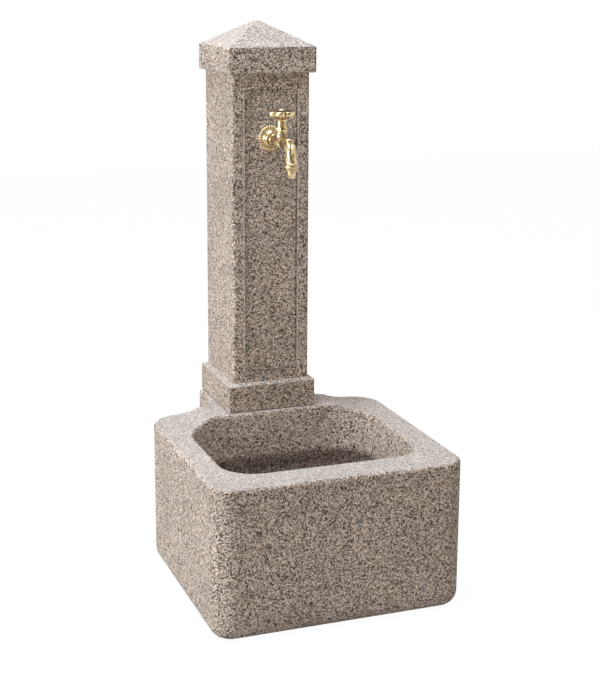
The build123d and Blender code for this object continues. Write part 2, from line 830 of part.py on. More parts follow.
# Washer between the body and the bonnet
with BuildPart() as bonnet_gasket:
    add(plain_ring(stem_level(body_top), gasket_radius, bonnet_thread_radius + fit_clearance, gasket_thickness))
bonnet_gasket.part.label = "bonnet_gasket"
export_step(bonnet_gasket.part, "parts/bonnet_gasket.step")

# Bonnet: screwed headwork with its hexagon, cored for the valve, the spindle and the packing
rod_hole_radius = spindle_radius + running_clearance
with BuildPart() as bonnet:
    with BuildSketch(stem_plane):
        with BuildLine():
            Polyline((bonnet_cavity_radius, bonnet_bottom), (bonnet_thread_radius, bonnet_bottom),
                     (bonnet_thread_radius, bonnet_shoulder), (bonnet_neck_radius, bonnet_shoulder),
                     (bonnet_neck_radius, hex_top), (gland_thread_radius, hex_top),
                     (gland_thread_radius, hex_top + gland_thread_length),
                     (packing_radius + fit_clearance, hex_top + gland_thread_length),
                     (packing_radius + fit_clearance, packing_bottom), (rod_hole_radius, packing_bottom),
                     (rod_hole_radius, bonnet_stop),
                     (spindle_thread_radius + running_clearance, bonnet_stop),
                     (spindle_thread_radius + running_clearance, cavity_top),
                     (bonnet_cavity_radius, cavity_top), close=True)
        make_face()
    revolve(axis=stem_axis)
    with BuildSketch(stem_level(hex_bottom)):
        RegularPolygon(bonnet_flats / 2, 6, major_radius=False)
        Circle(bonnet_neck_radius, mode=Mode.SUBTRACT)
    extrude(amount=bonnet_hex_height)
bonnet.part.label = "bonnet"
export_step(bonnet.part, "parts/bonnet.step")

# Packing round the spindle, and the tall nut that presses it
with BuildPart() as gland_packing:
    add(plain_ring(stem_level(packing_bottom), packing_radius, rod_hole_radius, packing_height))
gland_packing.part.label = "gland_packing"
export_step(gland_packing.part, "parts/gland_packing.step")

with BuildPart() as gland_nut:
    with BuildSketch(stem_plane):
        with BuildLine():
            Polyline((gland_thread_radius + fit_clearance, hex_top), (gland_nut_radius, hex_top),
                     (gland_nut_radius, gland_top - gland_edge_cut),
                     (gland_nut_radius - gland_edge_cut, gland_top), (rod_hole_radius, gland_top),
                     (rod_hole_radius, packing_top), (packing_radius, packing_top),
                     (packing_radius, packing_top + gland_nose_length),
                     (gland_thread_radius + fit_clearance, packing_top + gland_nose_length), close=True)
        make_face()
    revolve(axis=stem_axis)
gland_nut.part.label = "gland_nut"
export_step(gland_nut.part, "parts/gland_nut.step")

# Jumper: stub for the washer, disc, and the stem that slides in the spindle
stub_bottom = disc_bottom - washer_thickness - washer_nut_thickness
with BuildPart() as jumper:
    with BuildSketch(stem_plane):
        with BuildLine():
            Polyline((0, stub_bottom), (jumper_stub_radius, stub_bottom),
                     (jumper_stub_radius, disc_bottom), (jumper_disc_radius, disc_bottom),
                     (jumper_disc_radius, disc_top), (jumper_stem_radius, disc_top),
                     (jumper_stem_radius, disc_top + jumper_stem_length),
                     (0, disc_top + jumper_stem_length), close=True)
        make_face()
    revolve(axis=stem_axis)
jumper.part.label = "jumper"
export_step(jumper.part, "parts/jumper.step")

with BuildPart() as valve_washer:
    add(plain_ring(stem_level(seat_z), washer_radius, jumper_stub_radius + fit_clearance, washer_thickness))
valve_washer.part.label = "valve_washer"
export_step(valve_washer.part, "parts/valve_washer.step")

with BuildPart() as washer_nut:
    with BuildSketch(stem_level(stub_bottom)):
        RegularPolygon(washer_nut_flats / 2, 6, major_radius=False)
        Circle(jumper_stub_radius + fit_clearance, mode=Mode.SUBTRACT)
    extrude(amount=washer_nut_thickness)
washer_nut.part.label = "washer_nut"
export_step(washer_nut.part, "parts/washer_nut.step")

# Spindle: thread, rod and square, with the socket for the jumper and the hole for the screw
screw_seat = spindle_top + handwheel_web_over_spindle
with BuildPart() as spindle:
    with BuildSketch(stem_plane):
        with BuildLine():
            Polyline((jumper_stem_radius + running_clearance, spindle_bottom),
                     (spindle_thread_radius, spindle_bottom), (spindle_thread_radius, thread_top),
                     (spindle_radius, thread_top), (spindle_radius, spindle_shoulder),
                     (0, spindle_shoulder), (0, spindle_bottom + spindle_socket_depth),
                     (jumper_stem_radius + running_clearance, spindle_bottom + spindle_socket_depth),
                     close=True)
        make_face()
    revolve(axis=stem_axis)
    with BuildSketch(stem_level(spindle_shoulder)):
        Rectangle(spindle_square, spindle_square)
    extrude(amount=spindle_square_length)
    with BuildSketch(stem_level(spindle_top)):
        Circle(screw_shank_radius + fit_clearance)
    extrude(amount=screw_seat - screw_length - spindle_top, mode=Mode.SUBTRACT)
spindle.part.label = "spindle"
export_step(spindle.part, "parts/spindle.step")

# Handwheel: rounded lobes round a hub, with a gap between two lobes facing the front
lobes_bottom = wheel_bottom + handwheel_lift
lobes_top = lobes_bottom + handwheel_thickness
wheel_top = lobes_top + handwheel_hub_rise
with BuildPart() as handwheel:
    with BuildSketch(stem_level(lobes_bottom)) as wheel_plan:
        Circle(handwheel_web_radius)
        with PolarLocations(handwheel_radius - handwheel_lobe_radius, handwheel_lobes):
            Circle(handwheel_lobe_radius)
        fillet(wheel_plan.vertices(), handwheel_notch_round)
    extrude(amount=handwheel_thickness)
    fillet(handwheel.faces().filter_by(Axis.Z).edges(), handwheel_round)
    with BuildSketch(stem_level(wheel_bottom)):
        Circle(handwheel_hub_radius)
    extrude(amount=wheel_top - wheel_bottom)
    with BuildSketch(stem_level(wheel_bottom)):
        Circle(spindle_radius + fit_clearance)
    extrude(amount=handwheel_seat_depth, mode=Mode.SUBTRACT)
    with BuildSketch(stem_level(spindle_shoulder)):
        Rectangle(spindle_square + 2 * fit_clearance, spindle_square + 2 * fit_clearance)
    extrude(amount=spindle_square_length, mode=Mode.SUBTRACT)
    with BuildSketch(stem_level(spindle_top)):
        Circle(screw_shank_radius + fit_clearance)
    extrude(amount=handwheel_web_over_spindle, mode=Mode.SUBTRACT)
    with BuildSketch(stem_level(screw_seat)):
        Circle(screw_head_radius + screw_recess_clearance)
    extrude(amount=wheel_top - screw_seat, mode=Mode.SUBTRACT)
handwheel.part.label = "handwheel"
export_step(handwheel.part, "parts/handwheel.step")


# Slotted cheese-head screw with its head standing on a plane
def slotted_screw(plane, head_radius, head_height, shank_radius, length):
    with BuildPart() as screw:
        with BuildSketch(plane):
            Circle(head_radius)
        extrude(amount=head_height)
        with BuildSketch(plane.offset(head_height)):
            Rectangle(2 * head_radius, screw_slot_width)
        extrude(amount=-screw_slot_depth, mode=Mode.SUBTRACT)
        with BuildSketch(plane):
            Circle(shank_radius)
        extrude(amount=-length)
    return screw.part


with BuildPart() as handwheel_screw:
    add(slotted_screw(stem_level(screw_seat), screw_head_radius, screw_head_height, screw_shank_radius,
                      screw_length))
handwheel_screw.part.label = "handwheel_screw"
export_step(handwheel_screw.part, "parts/handwheel_screw.step")

# Gasket, nozzle and union nut under the spout
spout_plane = Plane(origin=(0, spout_y, 0), x_dir=(1, 0, 0), z_dir=(0, -1, 0))
spout_axis = Axis((0, spout_y, 0), (0, 0, 1))
nozzle_top = spout_end - nozzle_gasket_thickness
flange_bottom = nozzle_top - nozzle_flange_thickness
land_top = flange_bottom - nozzle_neck_length
land_bottom = land_top - nozzle_land_length
nozzle_end = land_bottom - nozzle_tip_length
with BuildPart() as nozzle_gasket:
    add(plain_ring(Plane(origin=(0, spout_y, nozzle_top), z_dir=(0, 0, 1)), nozzle_flange_radius,
                   nozzle_bore_radius, nozzle_gasket_thickness))
nozzle_gasket.part.label = "nozzle_gasket"
export_step(nozzle_gasket.part, "parts/nozzle_gasket.step")

with BuildPart() as hose_nozzle:
    with BuildSketch(spout_plane):
        with BuildLine():
            Polyline((nozzle_bore_radius, nozzle_end), (nozzle_tip_radius, nozzle_end),
                     (nozzle_radius, land_bottom), (nozzle_radius, land_top),
                     (nozzle_neck_radius, land_top), (nozzle_neck_radius, flange_bottom),
                     (nozzle_flange_radius, flange_bottom), (nozzle_flange_radius, nozzle_top),
                     (nozzle_bore_radius, nozzle_top), close=True)
        make_face()
    revolve(axis=spout_axis)
hose_nozzle.part.label = "hose_nozzle"
export_step(hose_nozzle.part, "parts/hose_nozzle.step")

nut_bottom = flange_bottom - union_nut_lip
nut_top = spout_ring_bottom - union_nut_end_gap
groove_bottom = nut_bottom + union_nut_ring
with BuildPart() as union_nut:
    with BuildSketch(spout_plane):
        with BuildLine():
            Polyline((nozzle_radius + union_nut_lip_clearance, nut_bottom), (union_nut_radius, nut_bottom),
                     (union_nut_radius, groove_bottom), (union_nut_radius - union_nut_groove, groove_bottom),
                     (union_nut_radius - union_nut_groove, groove_bottom + union_nut_groove_width),
                     (union_nut_radius, groove_bottom + union_nut_groove_width),
                     (union_nut_radius, nut_top), (spout_thread_radius + fit_clearance, nut_top),
                     (spout_thread_radius + fit_clearance, flange_bottom),
                     (nozzle_radius + union_nut_lip_clearance, flange_bottom), close=True)
        make_face()
    revolve(axis=spout_axis)
union_nut.part.label = "union_nut"
export_step(union_nut.part, "parts/union_nut.step")


# Plane across the drain's upright axis at a height
def drain_level(height):
    return Plane(origin=(0, bowl_y, height), x_dir=(1, 0, 0), z_dir=(0, 0, 1))


# Waste body: flange, threaded tail, and the cross that holds the strainer
waste_plane = Plane(origin=(0, bowl_y, 0), x_dir=(1, 0, 0), z_dir=(0, -1, 0))
waste_flange_bottom = bowl_floor - waste_flange_thickness
elbow_top = underside_top - waste_gasket_thickness - backnut_thickness - drain_elbow_gap
waste_tail_bottom = elbow_top - drain_engagement
strainer_bottom = bowl_floor - strainer_thickness
with BuildPart() as waste_body:
    with BuildSketch(waste_plane):
        with BuildLine():
            Polyline((waste_bore_radius, waste_tail_bottom), (waste_tail_radius, waste_tail_bottom),
                     (waste_tail_radius, waste_flange_bottom), (waste_flange_radius, waste_flange_bottom),
                     (waste_flange_radius, bowl_floor),
                     (strainer_radius + strainer_clearance, bowl_floor),
                     (strainer_radius + strainer_clearance, strainer_bottom),
                     (waste_bore_radius, strainer_bottom), close=True)
        make_face()
    revolve(axis=Axis((0, bowl_y, 0), (0, 0, 1)))
    with BuildSketch(drain_level(strainer_bottom - waste_cross_height)):
        Rectangle(waste_bore_radius + waste_tail_radius, waste_cross_thickness)
        Rectangle(waste_cross_thickness, waste_bore_radius + waste_tail_radius)
        Circle(waste_boss_radius)
        Circle(strainer_screw_radius + fit_clearance, mode=Mode.SUBTRACT)
    extrude(amount=waste_cross_height)
waste_body.part.label = "waste_body"
export_step(waste_body.part, "parts/waste_body.step")

# Rubber rings above and below the bowl's floor
with BuildPart() as waste_gaskets:
    add(plain_ring(drain_level(bowl_floor - waste_recess_depth), waste_gasket_radius,
                   waste_tail_radius + fit_clearance, waste_gasket_thickness))
    add(plain_ring(drain_level(underside_top - waste_gasket_thickness), waste_lower_gasket_radius,
                   waste_tail_radius + fit_clearance, waste_gasket_thickness))
waste_gaskets.part.label = "waste_gaskets"
export_step(waste_gaskets.part, "parts/waste_gaskets.step")

with BuildPart() as waste_backnut:
    with BuildSketch(drain_level(underside_top - waste_gasket_thickness - backnut_thickness)):
        RegularPolygon(backnut_flats / 2, 6, major_radius=False)
        Circle(waste_tail_radius + fit_clearance, mode=Mode.SUBTRACT)
    extrude(amount=backnut_thickness)
waste_backnut.part.label = "waste_backnut"
export_step(waste_backnut.part, "parts/waste_backnut.step")

# Strainer plate and its screw
with BuildPart() as strainer:
    with BuildSketch(drain_level(strainer_bottom)):
        Circle(strainer_radius)
        Circle(strainer_screw_radius + fit_clearance, mode=Mode.SUBTRACT)
        with PolarLocations(strainer_inner_ring_radius, strainer_inner_holes):
            Circle(strainer_hole_radius, mode=Mode.SUBTRACT)
        with PolarLocations(strainer_outer_ring_radius, strainer_outer_holes):
            Circle(strainer_hole_radius, mode=Mode.SUBTRACT)
    extrude(amount=strainer_thickness)
strainer.part.label = "strainer"
export_step(strainer.part, "parts/strainer.step")

with BuildPart() as strainer_screw:
    add(slotted_screw(drain_level(bowl_floor), strainer_screw_head_radius, strainer_screw_head_height,
                      strainer_screw_radius, strainer_screw_length))
strainer_screw.part.label = "strainer_screw"
export_step(strainer_screw.part, "parts/strainer_screw.step")

# Drain elbow with a collar and a socket at each end
drain_bend_radius = (elbow_top - drain_height) * drain_bend_share
elbow_end_y = bowl_y + drain_bend_radius + drain_elbow_outlet
pipe_start_y = elbow_end_y - drain_engagement
pipe_end_y = back_y - drain_pipe_end_gap
spigot_start_y = pipe_end_y - drain_spigot_length


# Plane across the drain pipe, facing the back
def drain_station(place):
    return Plane(origin=(0, place, drain_height), x_dir=(-1, 0, 0), z_dir=(0, 1, 0))


with BuildPart() as drain_elbow:
    with BuildLine(Plane.YZ) as drain_line:
        FilletPolyline((bowl_y, elbow_top), (bowl_y, drain_height), (elbow_end_y, drain_height),
                       radius=drain_bend_radius)
    with BuildSketch(drain_level(elbow_top)):
        Circle(drain_elbow_radius)
    sweep(path=drain_line.line)
    with BuildSketch(drain_level(elbow_top)):
        Circle(drain_collar_radius)
    extrude(amount=-drain_collar_length)
    with BuildSketch(drain_station(elbow_end_y)):
        Circle(drain_collar_radius)
    extrude(amount=-drain_collar_length)
    with BuildSketch(drain_level(elbow_top)):
        Circle(drain_pipe_bore_radius)
    sweep(path=drain_line.line, mode=Mode.SUBTRACT)
    with BuildSketch(drain_level(elbow_top)):
        Circle(waste_tail_radius + fit_clearance)
    extrude(amount=-drain_engagement, mode=Mode.SUBTRACT)
    with BuildSketch(drain_station(elbow_end_y)):
        Circle(drain_pipe_radius + fit_clearance)
    extrude(amount=-drain_engagement, mode=Mode.SUBTRACT)
drain_elbow.part.label = "drain_elbow"
export_step(drain_elbow.part, "parts/drain_elbow.step")

# Drain pipe out through the notch in the rear wall, with a groove behind its spigot
with BuildPart() as drain_pipe:
    add(plain_ring(drain_station(pipe_start_y), drain_pipe_radius, drain_pipe_bore_radius,
                   pipe_end_y - pipe_start_y))
    with BuildSketch(drain_station(spigot_start_y)):
        Circle(drain_pipe_radius)
        Circle(drain_groove_radius, mode=Mode.SUBTRACT)
    extrude(amount=-drain_groove_width, mode=Mode.SUBTRACT)
drain_pipe.part.label = "drain_pipe"
export_step(drain_pipe.part, "parts/drain_pipe.step")
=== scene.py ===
import bpy
import bmesh
import json
import math
from mathutils import Matrix, Vector


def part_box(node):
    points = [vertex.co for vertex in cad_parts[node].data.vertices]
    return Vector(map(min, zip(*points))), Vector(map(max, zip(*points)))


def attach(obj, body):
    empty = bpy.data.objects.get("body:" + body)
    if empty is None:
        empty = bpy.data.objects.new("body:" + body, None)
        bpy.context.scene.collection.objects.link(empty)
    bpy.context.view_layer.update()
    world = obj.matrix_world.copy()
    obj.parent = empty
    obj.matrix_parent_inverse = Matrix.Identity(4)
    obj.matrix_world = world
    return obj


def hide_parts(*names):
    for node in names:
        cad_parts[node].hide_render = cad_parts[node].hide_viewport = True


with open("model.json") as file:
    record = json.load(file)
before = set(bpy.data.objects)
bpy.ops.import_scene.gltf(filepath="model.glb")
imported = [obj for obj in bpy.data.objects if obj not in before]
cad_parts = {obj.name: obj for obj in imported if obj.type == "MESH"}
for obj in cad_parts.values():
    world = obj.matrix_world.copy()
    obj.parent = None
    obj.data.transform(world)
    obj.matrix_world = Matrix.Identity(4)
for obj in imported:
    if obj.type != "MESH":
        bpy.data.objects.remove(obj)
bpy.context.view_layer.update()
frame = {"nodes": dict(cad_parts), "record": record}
print("frame loaded")

# Camera, fitted to the picture's edges
cameraSettings = {
    "azimuth": -19.85,  # degrees, negative is to the left of the front
    "elevation": 12.91,
    "distance": 2.686,
    "target": (-0.0449, -0.065, 0.5888),
    "roll": 0.12,
    "focalPixels": 1398.0,
    "middlePixels": (279.1, 295.7),
    "imagePixels": (600.0, 700.0),
    "sensorWidth": 36.0,
    "clipEnd": 50.0,
}


def linkObject(name, data):
    item = bpy.data.objects.new(name, data)
    bpy.context.scene.collection.objects.link(item)
    return item


def buildCamera(settings):
    azimuth = math.radians(settings["azimuth"])
    elevation = math.radians(settings["elevation"])
    back = Vector((math.sin(azimuth) * math.cos(elevation), -math.cos(azimuth) * math.cos(elevation),
                   math.sin(elevation)))
    right = (-back).cross(Vector((0, 0, 1))).normalized()
    up = right.cross(-back)
    turned = Matrix((right, up, back)).transposed() @ Matrix.Rotation(math.radians(settings["roll"]), 3, "Z")
    width, height = settings["imagePixels"]
    middleX, middleY = settings["middlePixels"]
    data = bpy.data.cameras.new("camera")
    data.sensor_width = settings["sensorWidth"]
    data.lens = settings["focalPixels"] / height * data.sensor_width
    data.shift_x = (width / 2 - middleX) / height
    data.shift_y = (middleY - height / 2) / height
    data.clip_end = settings["clipEnd"]
    camera = linkObject("camera", data)
    eye = Vector(settings["target"]) + back * settings["distance"]
    camera.matrix_world = Matrix.Translation(eye) @ turned.to_4x4()
    bpy.context.scene.camera = camera


buildCamera(cameraSettings)
print("camera placed")


# Node helpers
def addNode(tree, kind, inputs=None, **settings):
    node = tree.nodes.new(kind)
    for key, value in settings.items():
        setattr(node, key, value)
    for key, value in (inputs or {}).items():
        if isinstance(value, bpy.types.NodeSocket):
            tree.links.new(value, node.inputs[key])
        else:
            node.inputs[key].default_value = value
    return node


def mathNode(tree, operation, first, second, clamp=False):
    node = addNode(tree, "ShaderNodeMath", {0: first, 1: second}, operation=operation, use_clamp=clamp)
    return node.outputs[0]


def vectorNode(tree, operation, first, second):
    node = addNode(tree, "ShaderNodeVectorMath", {0: first, 1: second}, operation=operation)
    return node.outputs["Vector"]


def rampNode(tree, factor, stops):
    node = addNode(tree, "ShaderNodeValToRGB", {"Fac": factor})
    while len(node.color_ramp.elements) < len(stops):
        node.color_ramp.elements.new(0.5)
    for element, (place, colour) in zip(node.color_ramp.elements, stops):
        element.position = place
        element.color = (*colour, 1)
    return node.outputs["Color"]


def mixColours(tree, factor, first, second, mode="MIX"):
    node = addNode(tree, "ShaderNodeMix", data_type="RGBA", blend_type=mode)
    for index, value in ((0, factor), (6, first), (7, second)):  # its colour sockets share their names
        if isinstance(value, bpy.types.NodeSocket):
            tree.links.new(value, node.inputs[index])
        else:
            node.inputs[index].default_value = value if index == 0 else (*value, 1)
    return node.outputs[2]


def newGroup(name, inputs, outputs):
    tree = bpy.data.node_groups.new(name, "ShaderNodeTree")
    for label, kind in inputs:
        tree.interface.new_socket(label, in_out="INPUT", socket_type=kind)
    for label in outputs:
        tree.interface.new_socket(label, in_out="OUTPUT", socket_type="NodeSocketFloat")
    return tree, addNode(tree, "NodeGroupInput"), addNode(tree, "NodeGroupOutput")


# Mineral grains in cement: every grain has its own tone, with dark chips, pale chips and pits between them
grainSettings = {
    "wobbleScale": 160.0,  # bends the straight borders between grains
    "wobble": 0.004,
    "chipFade": (0.42, 0.5),  # distances from a chip's middle, in cells
    "darkAbove": 0.86,  # chips with a random tone above this are dark
    "paleBelow": 0.07,
    "lumpScale": 250.0,
    "lumpWeight": 1.6,
}


def buildGrainGroup(settings):
    tree, given, result = newGroup(
        "mineralGrains",
        [("Vector", "NodeSocketVector"), ("Grain Scale", "NodeSocketFloat"),
         ("Chip Scale", "NodeSocketFloat"), ("Patch Scale", "NodeSocketFloat")],
        ("Tone", "Dark Chips", "Pale Chips", "Patches", "Height"))
    wobble = addNode(tree, "ShaderNodeTexNoise", {"Vector": given.outputs["Vector"],
                                                  "Scale": settings["wobbleScale"], "Detail": 2.0})
    shifted = vectorNode(tree, "MULTIPLY", wobble.outputs["Color"], (settings["wobble"],) * 3)
    place = vectorNode(tree, "ADD", given.outputs["Vector"], shifted)
    grains = addNode(tree, "ShaderNodeTexVoronoi", {"Vector": place, "Scale": given.outputs["Grain Scale"]})
    grainTone = addNode(tree, "ShaderNodeSeparateColor", {"Color": grains.outputs["Color"]})
    chips = addNode(tree, "ShaderNodeTexVoronoi", {"Vector": place, "Scale": given.outputs["Chip Scale"]})
    chipTone = addNode(tree, "ShaderNodeSeparateColor", {"Color": chips.outputs["Color"]})
    fadeFrom, fadeTo = settings["chipFade"]
    near = addNode(tree, "ShaderNodeMapRange", {"Value": chips.outputs["Distance"], "From Min": fadeFrom,
                                                "From Max": fadeTo, "To Min": 1.0, "To Max": 0.0})
    isDark = mathNode(tree, "GREATER_THAN", chipTone.outputs["Red"], settings["darkAbove"])
    isPale = mathNode(tree, "LESS_THAN", chipTone.outputs["Red"], settings["paleBelow"])
    dark = mathNode(tree, "MULTIPLY", isDark, near.outputs[0])
    pale = mathNode(tree, "MULTIPLY", isPale, near.outputs[0])
    patches = addNode(tree, "ShaderNodeTexNoise", {"Vector": given.outputs["Vector"],
                                                   "Scale": given.outputs["Patch Scale"], "Detail": 4.0})
    rounded = mathNode(tree, "SUBTRACT", 1.0, grains.outputs["Distance"])
    lumps = addNode(tree, "ShaderNodeTexNoise", {"Vector": given.outputs["Vector"],
                                                 "Scale": settings["lumpScale"], "Detail": 2.0,
                                                 "Roughness": 0.6})
    height = addNode(tree, "ShaderNodeMath", {0: lumps.outputs["Fac"], 1: settings["lumpWeight"], 2: rounded},
                     operation="MULTIPLY_ADD")
    for label, socket in (("Tone", grainTone.outputs["Red"]), ("Dark Chips", dark), ("Pale Chips", pale),
                          ("Patches", patches.outputs["Fac"]), ("Height", height.outputs[0])):
        tree.links.new(socket, result.inputs[label])
    return tree


# Fine handling marks and casting texture, for metal, rubber and plastic
handlingSettings = {
    "markSpread": (0.3, 0.7),
    "colourSpread": (0.35, 0.65),
    "fineScale": 900.0,
    "bumpDepth": 0.0005,
    "tarnishRoughness": 0.35,
}


def buildFinishGroup(settings):
    tree, given, result = newGroup(
        "handledFinish",
        [("Vector", "NodeSocketVector"), ("Mark Scale", "NodeSocketFloat"), ("Low", "NodeSocketFloat"),
         ("High", "NodeSocketFloat")],
        ("Marks", "Roughness", "Height"))
    marks = addNode(tree, "ShaderNodeTexNoise", {"Vector": given.outputs["Vector"],
                                                 "Scale": given.outputs["Mark Scale"], "Detail": 5.0})
    least, most = settings["markSpread"]
    rough = addNode(tree, "ShaderNodeMapRange", {"Value": marks.outputs["Fac"], "From Min": least,
                                                 "From Max": most, "To Min": given.outputs["Low"],
                                                 "To Max": given.outputs["High"]})
    fine = addNode(tree, "ShaderNodeTexNoise", {"Vector": given.outputs["Vector"],
                                                "Scale": settings["fineScale"], "Detail": 2.0})
    for label, socket in (("Marks", marks.outputs["Fac"]), ("Roughness", rough.outputs[0]),
                          ("Height", fine.outputs["Fac"])):
        tree.links.new(socket, result.inputs[label])
    return tree


# One inside a box on the object's coordinates, falling to nothing over a soft border
def buildBoxGroup():
    tree, given, result = newGroup(
        "softBox",
        [("Vector", "NodeSocketVector"), ("Low", "NodeSocketVector"), ("High", "NodeSocketVector"),
         ("Border", "NodeSocketFloat")],
        ("Mask",))
    above = vectorNode(tree, "SUBTRACT", given.outputs["Vector"], given.outputs["Low"])
    below = vectorNode(tree, "SUBTRACT", given.outputs["High"], given.outputs["Vector"])
    inside = addNode(tree, "ShaderNodeSeparateXYZ", {0: vectorNode(tree, "MINIMUM", above, below)})
    least = mathNode(tree, "MINIMUM", inside.outputs["X"], inside.outputs["Y"])
    least = mathNode(tree, "MINIMUM", least, inside.outputs["Z"])
    mask = mathNode(tree, "DIVIDE", least, given.outputs["Border"], clamp=True)
    tree.links.new(mask, result.inputs["Mask"])
    return tree


grainGroup = buildGrainGroup(grainSettings)
finishGroup = buildFinishGroup(handlingSettings)
boxGroup = buildBoxGroup()

stoneSettings = {
    "grainScale": 470.0,
    "chipScale": 330.0,
    "patchScale": 8.0,
    "tones": [(0.0, (0.020, 0.015, 0.012)), (0.17, (0.10, 0.078, 0.062)), (0.32, (0.38, 0.304, 0.243)),
              (0.65, (0.60, 0.487, 0.398)), (1.0, (1.0, 0.850, 0.720))],
    "darkChip": (0.070, 0.055, 0.045),
    "paleChip": (0.90, 0.83, 0.77),
    "patches": [(0.3, (0.90, 0.895, 0.89)), (0.7, (1.08, 1.075, 1.07))],
    "roughness": 0.92,
    "specular": 0.25,
    "bumpStrength": 1.0,
    "bumpDepth": 0.0020,
    "bowlShadeLow": (-0.205, -0.235, 0.150),  # box round the bowl's floor, where painted shade darkens the stone
    "bowlShadeHigh": (0.205, 0.085, 0.222),
    "bowlShadeBorder": 0.012,
    "bowlShadeColour": (0.33, 0.30, 0.28),
    "paintedTopLightFacing": (0.70, 0.98),  # painted light: faces that look up are made paler and greyer
    "paintedTopLightColour": (0.68, 0.63, 0.59),
    "paintedTopLightShare": 0.38,
    "panelDepth": (0.100, 0.112),  # the column's panel, in y
    "panelFrames": [(0.0594, 0.3896, 0.9684), (0.0564, 0.3896, 0.9684),
                    (0.0545, 0.3915, 0.9665)],  # half width, lower and upper end
    "panelBorder": 0.0005,
    "panelPaintedLight": [((0.86, 0.77, 0.69), 0.42, "MIX"), ((0.42, 0.40, 0.38), 1.0, "MULTIPLY")],  # painted highlight on the arris, painted shade in the corner
}


def newMaterial(name):
    material = bpy.data.materials.new(name)
    material.use_nodes = True
    tree = material.node_tree
    places = addNode(tree, "ShaderNodeTexCoord").outputs
    return material, tree, tree.nodes["Principled BSDF"], places


def softBox(tree, place, low, high, border):
    inputs = {"Vector": place, "Low": low, "High": high, "Border": border}
    return addNode(tree, "ShaderNodeGroup", inputs, node_tree=boxGroup).outputs["Mask"]


# Painted highlight along the panel's arris, and painted shade in the corner inside it
def paintPanelLightAndShade(tree, place, colour, settings):
    front, back = settings["panelDepth"]
    boxes = [softBox(tree, place, (-half, front, low), (half, back, high), settings["panelBorder"])
             for half, low, high in settings["panelFrames"]]
    # painted highlight on the arris, then painted shade in the corner
    for outer, inner, (tint, share, mode) in zip(boxes, boxes[1:], settings["panelPaintedLight"]):
        edge = mathNode(tree, "SUBTRACT", outer, inner, clamp=True)
        colour = mixColours(tree, mathNode(tree, "MULTIPLY", edge, share), colour, tint, mode)
    return colour


def castStone(name, settings):
    material, tree, shader, places = newMaterial(name)
    place = places["Object"]
    grains = addNode(tree, "ShaderNodeGroup", {"Vector": place, "Grain Scale": settings["grainScale"],
                                               "Chip Scale": settings["chipScale"],
                                               "Patch Scale": settings["patchScale"]}, node_tree=grainGroup)
    colour = rampNode(tree, grains.outputs["Tone"], settings["tones"])
    colour = mixColours(tree, grains.outputs["Dark Chips"], colour, settings["darkChip"])
    colour = mixColours(tree, grains.outputs["Pale Chips"], colour, settings["paleChip"])
    patches = rampNode(tree, grains.outputs["Patches"], settings["patches"])
    colour = mixColours(tree, 1.0, colour, patches, "MULTIPLY")
    # painted light on faces that look up
    facing = addNode(tree, "ShaderNodeSeparateXYZ", {0: places["Normal"]})
    topLightFrom, topLightTo = settings["paintedTopLightFacing"]
    paintedTopLight = addNode(tree, "ShaderNodeMapRange", {"Value": facing.outputs["Z"], "From Min": topLightFrom,
                                                 "From Max": topLightTo, "To Max": settings["paintedTopLightShare"]},
                    interpolation_type="SMOOTHSTEP")
    colour = mixColours(tree, paintedTopLight.outputs[0], colour, settings["paintedTopLightColour"])
    # painted shade: the bowl's floor and the foot of its walls are darkened
    bowlShade = softBox(tree, place, settings["bowlShadeLow"], settings["bowlShadeHigh"], settings["bowlShadeBorder"])
    colour = mixColours(tree, bowlShade, colour, settings["bowlShadeColour"], "MULTIPLY")
    colour = paintPanelLightAndShade(tree, place, colour, settings)
    tree.links.new(colour, shader.inputs["Base Color"])
    bump = addNode(tree, "ShaderNodeBump", {"Height": grains.outputs["Height"],
                                            "Strength": settings["bumpStrength"],
                                            "Distance": settings["bumpDepth"]})
    tree.links.new(bump.outputs["Normal"], shader.inputs["Normal"])
    shader.inputs["Roughness"].default_value = settings["roughness"]
    shader.inputs["Specular IOR Level"].default_value = settings["specular"]
    return material


finishSettings = {
    "polishedBrass": {"light": (0.82, 0.65, 0.39), "dark": (0.58, 0.42, 0.22), "metallic": 1.0,
                      "low": 0.11, "high": 0.20, "markScale": 140.0, "bump": 0.04,
                      "tarnish": (0.10, 0.062, 0.028)},
    "plainBrass": {"light": (0.78, 0.62, 0.34), "dark": (0.66, 0.49, 0.24), "metallic": 1.0,
                   "low": 0.28, "high": 0.42, "markScale": 180.0, "bump": 0.06},
    "galvanisedSteel": {"light": (0.63, 0.65, 0.66), "dark": (0.50, 0.52, 0.54), "metallic": 1.0,
                        "low": 0.35, "high": 0.55, "markScale": 90.0, "bump": 0.08},
    "stainlessSteel": {"light": (0.34, 0.34, 0.33), "dark": (0.20, 0.20, 0.20), "metallic": 1.0,
                       "low": 0.50, "high": 0.64, "markScale": 220.0, "bump": 0.04},
    "blackRubber": {"light": (0.045, 0.045, 0.045), "dark": (0.025, 0.025, 0.025), "metallic": 0.0,
                    "low": 0.6, "high": 0.8, "markScale": 150.0, "bump": 0.12},
    "fibrePacking": {"light": (0.40, 0.36, 0.29), "dark": (0.27, 0.24, 0.19), "metallic": 0.0,
                     "low": 0.75, "high": 0.9, "markScale": 400.0, "bump": 0.3},
    "greyPlastic": {"light": (0.40, 0.41, 0.42), "dark": (0.33, 0.34, 0.35), "metallic": 0.0,
                    "low": 0.38, "high": 0.5, "markScale": 60.0, "bump": 0.05},
    "mortar": {"light": (0.17, 0.155, 0.14), "dark": (0.07, 0.064, 0.06), "metallic": 0.0,
               "low": 0.85, "high": 0.95, "markScale": 300.0, "bump": 0.5},
}


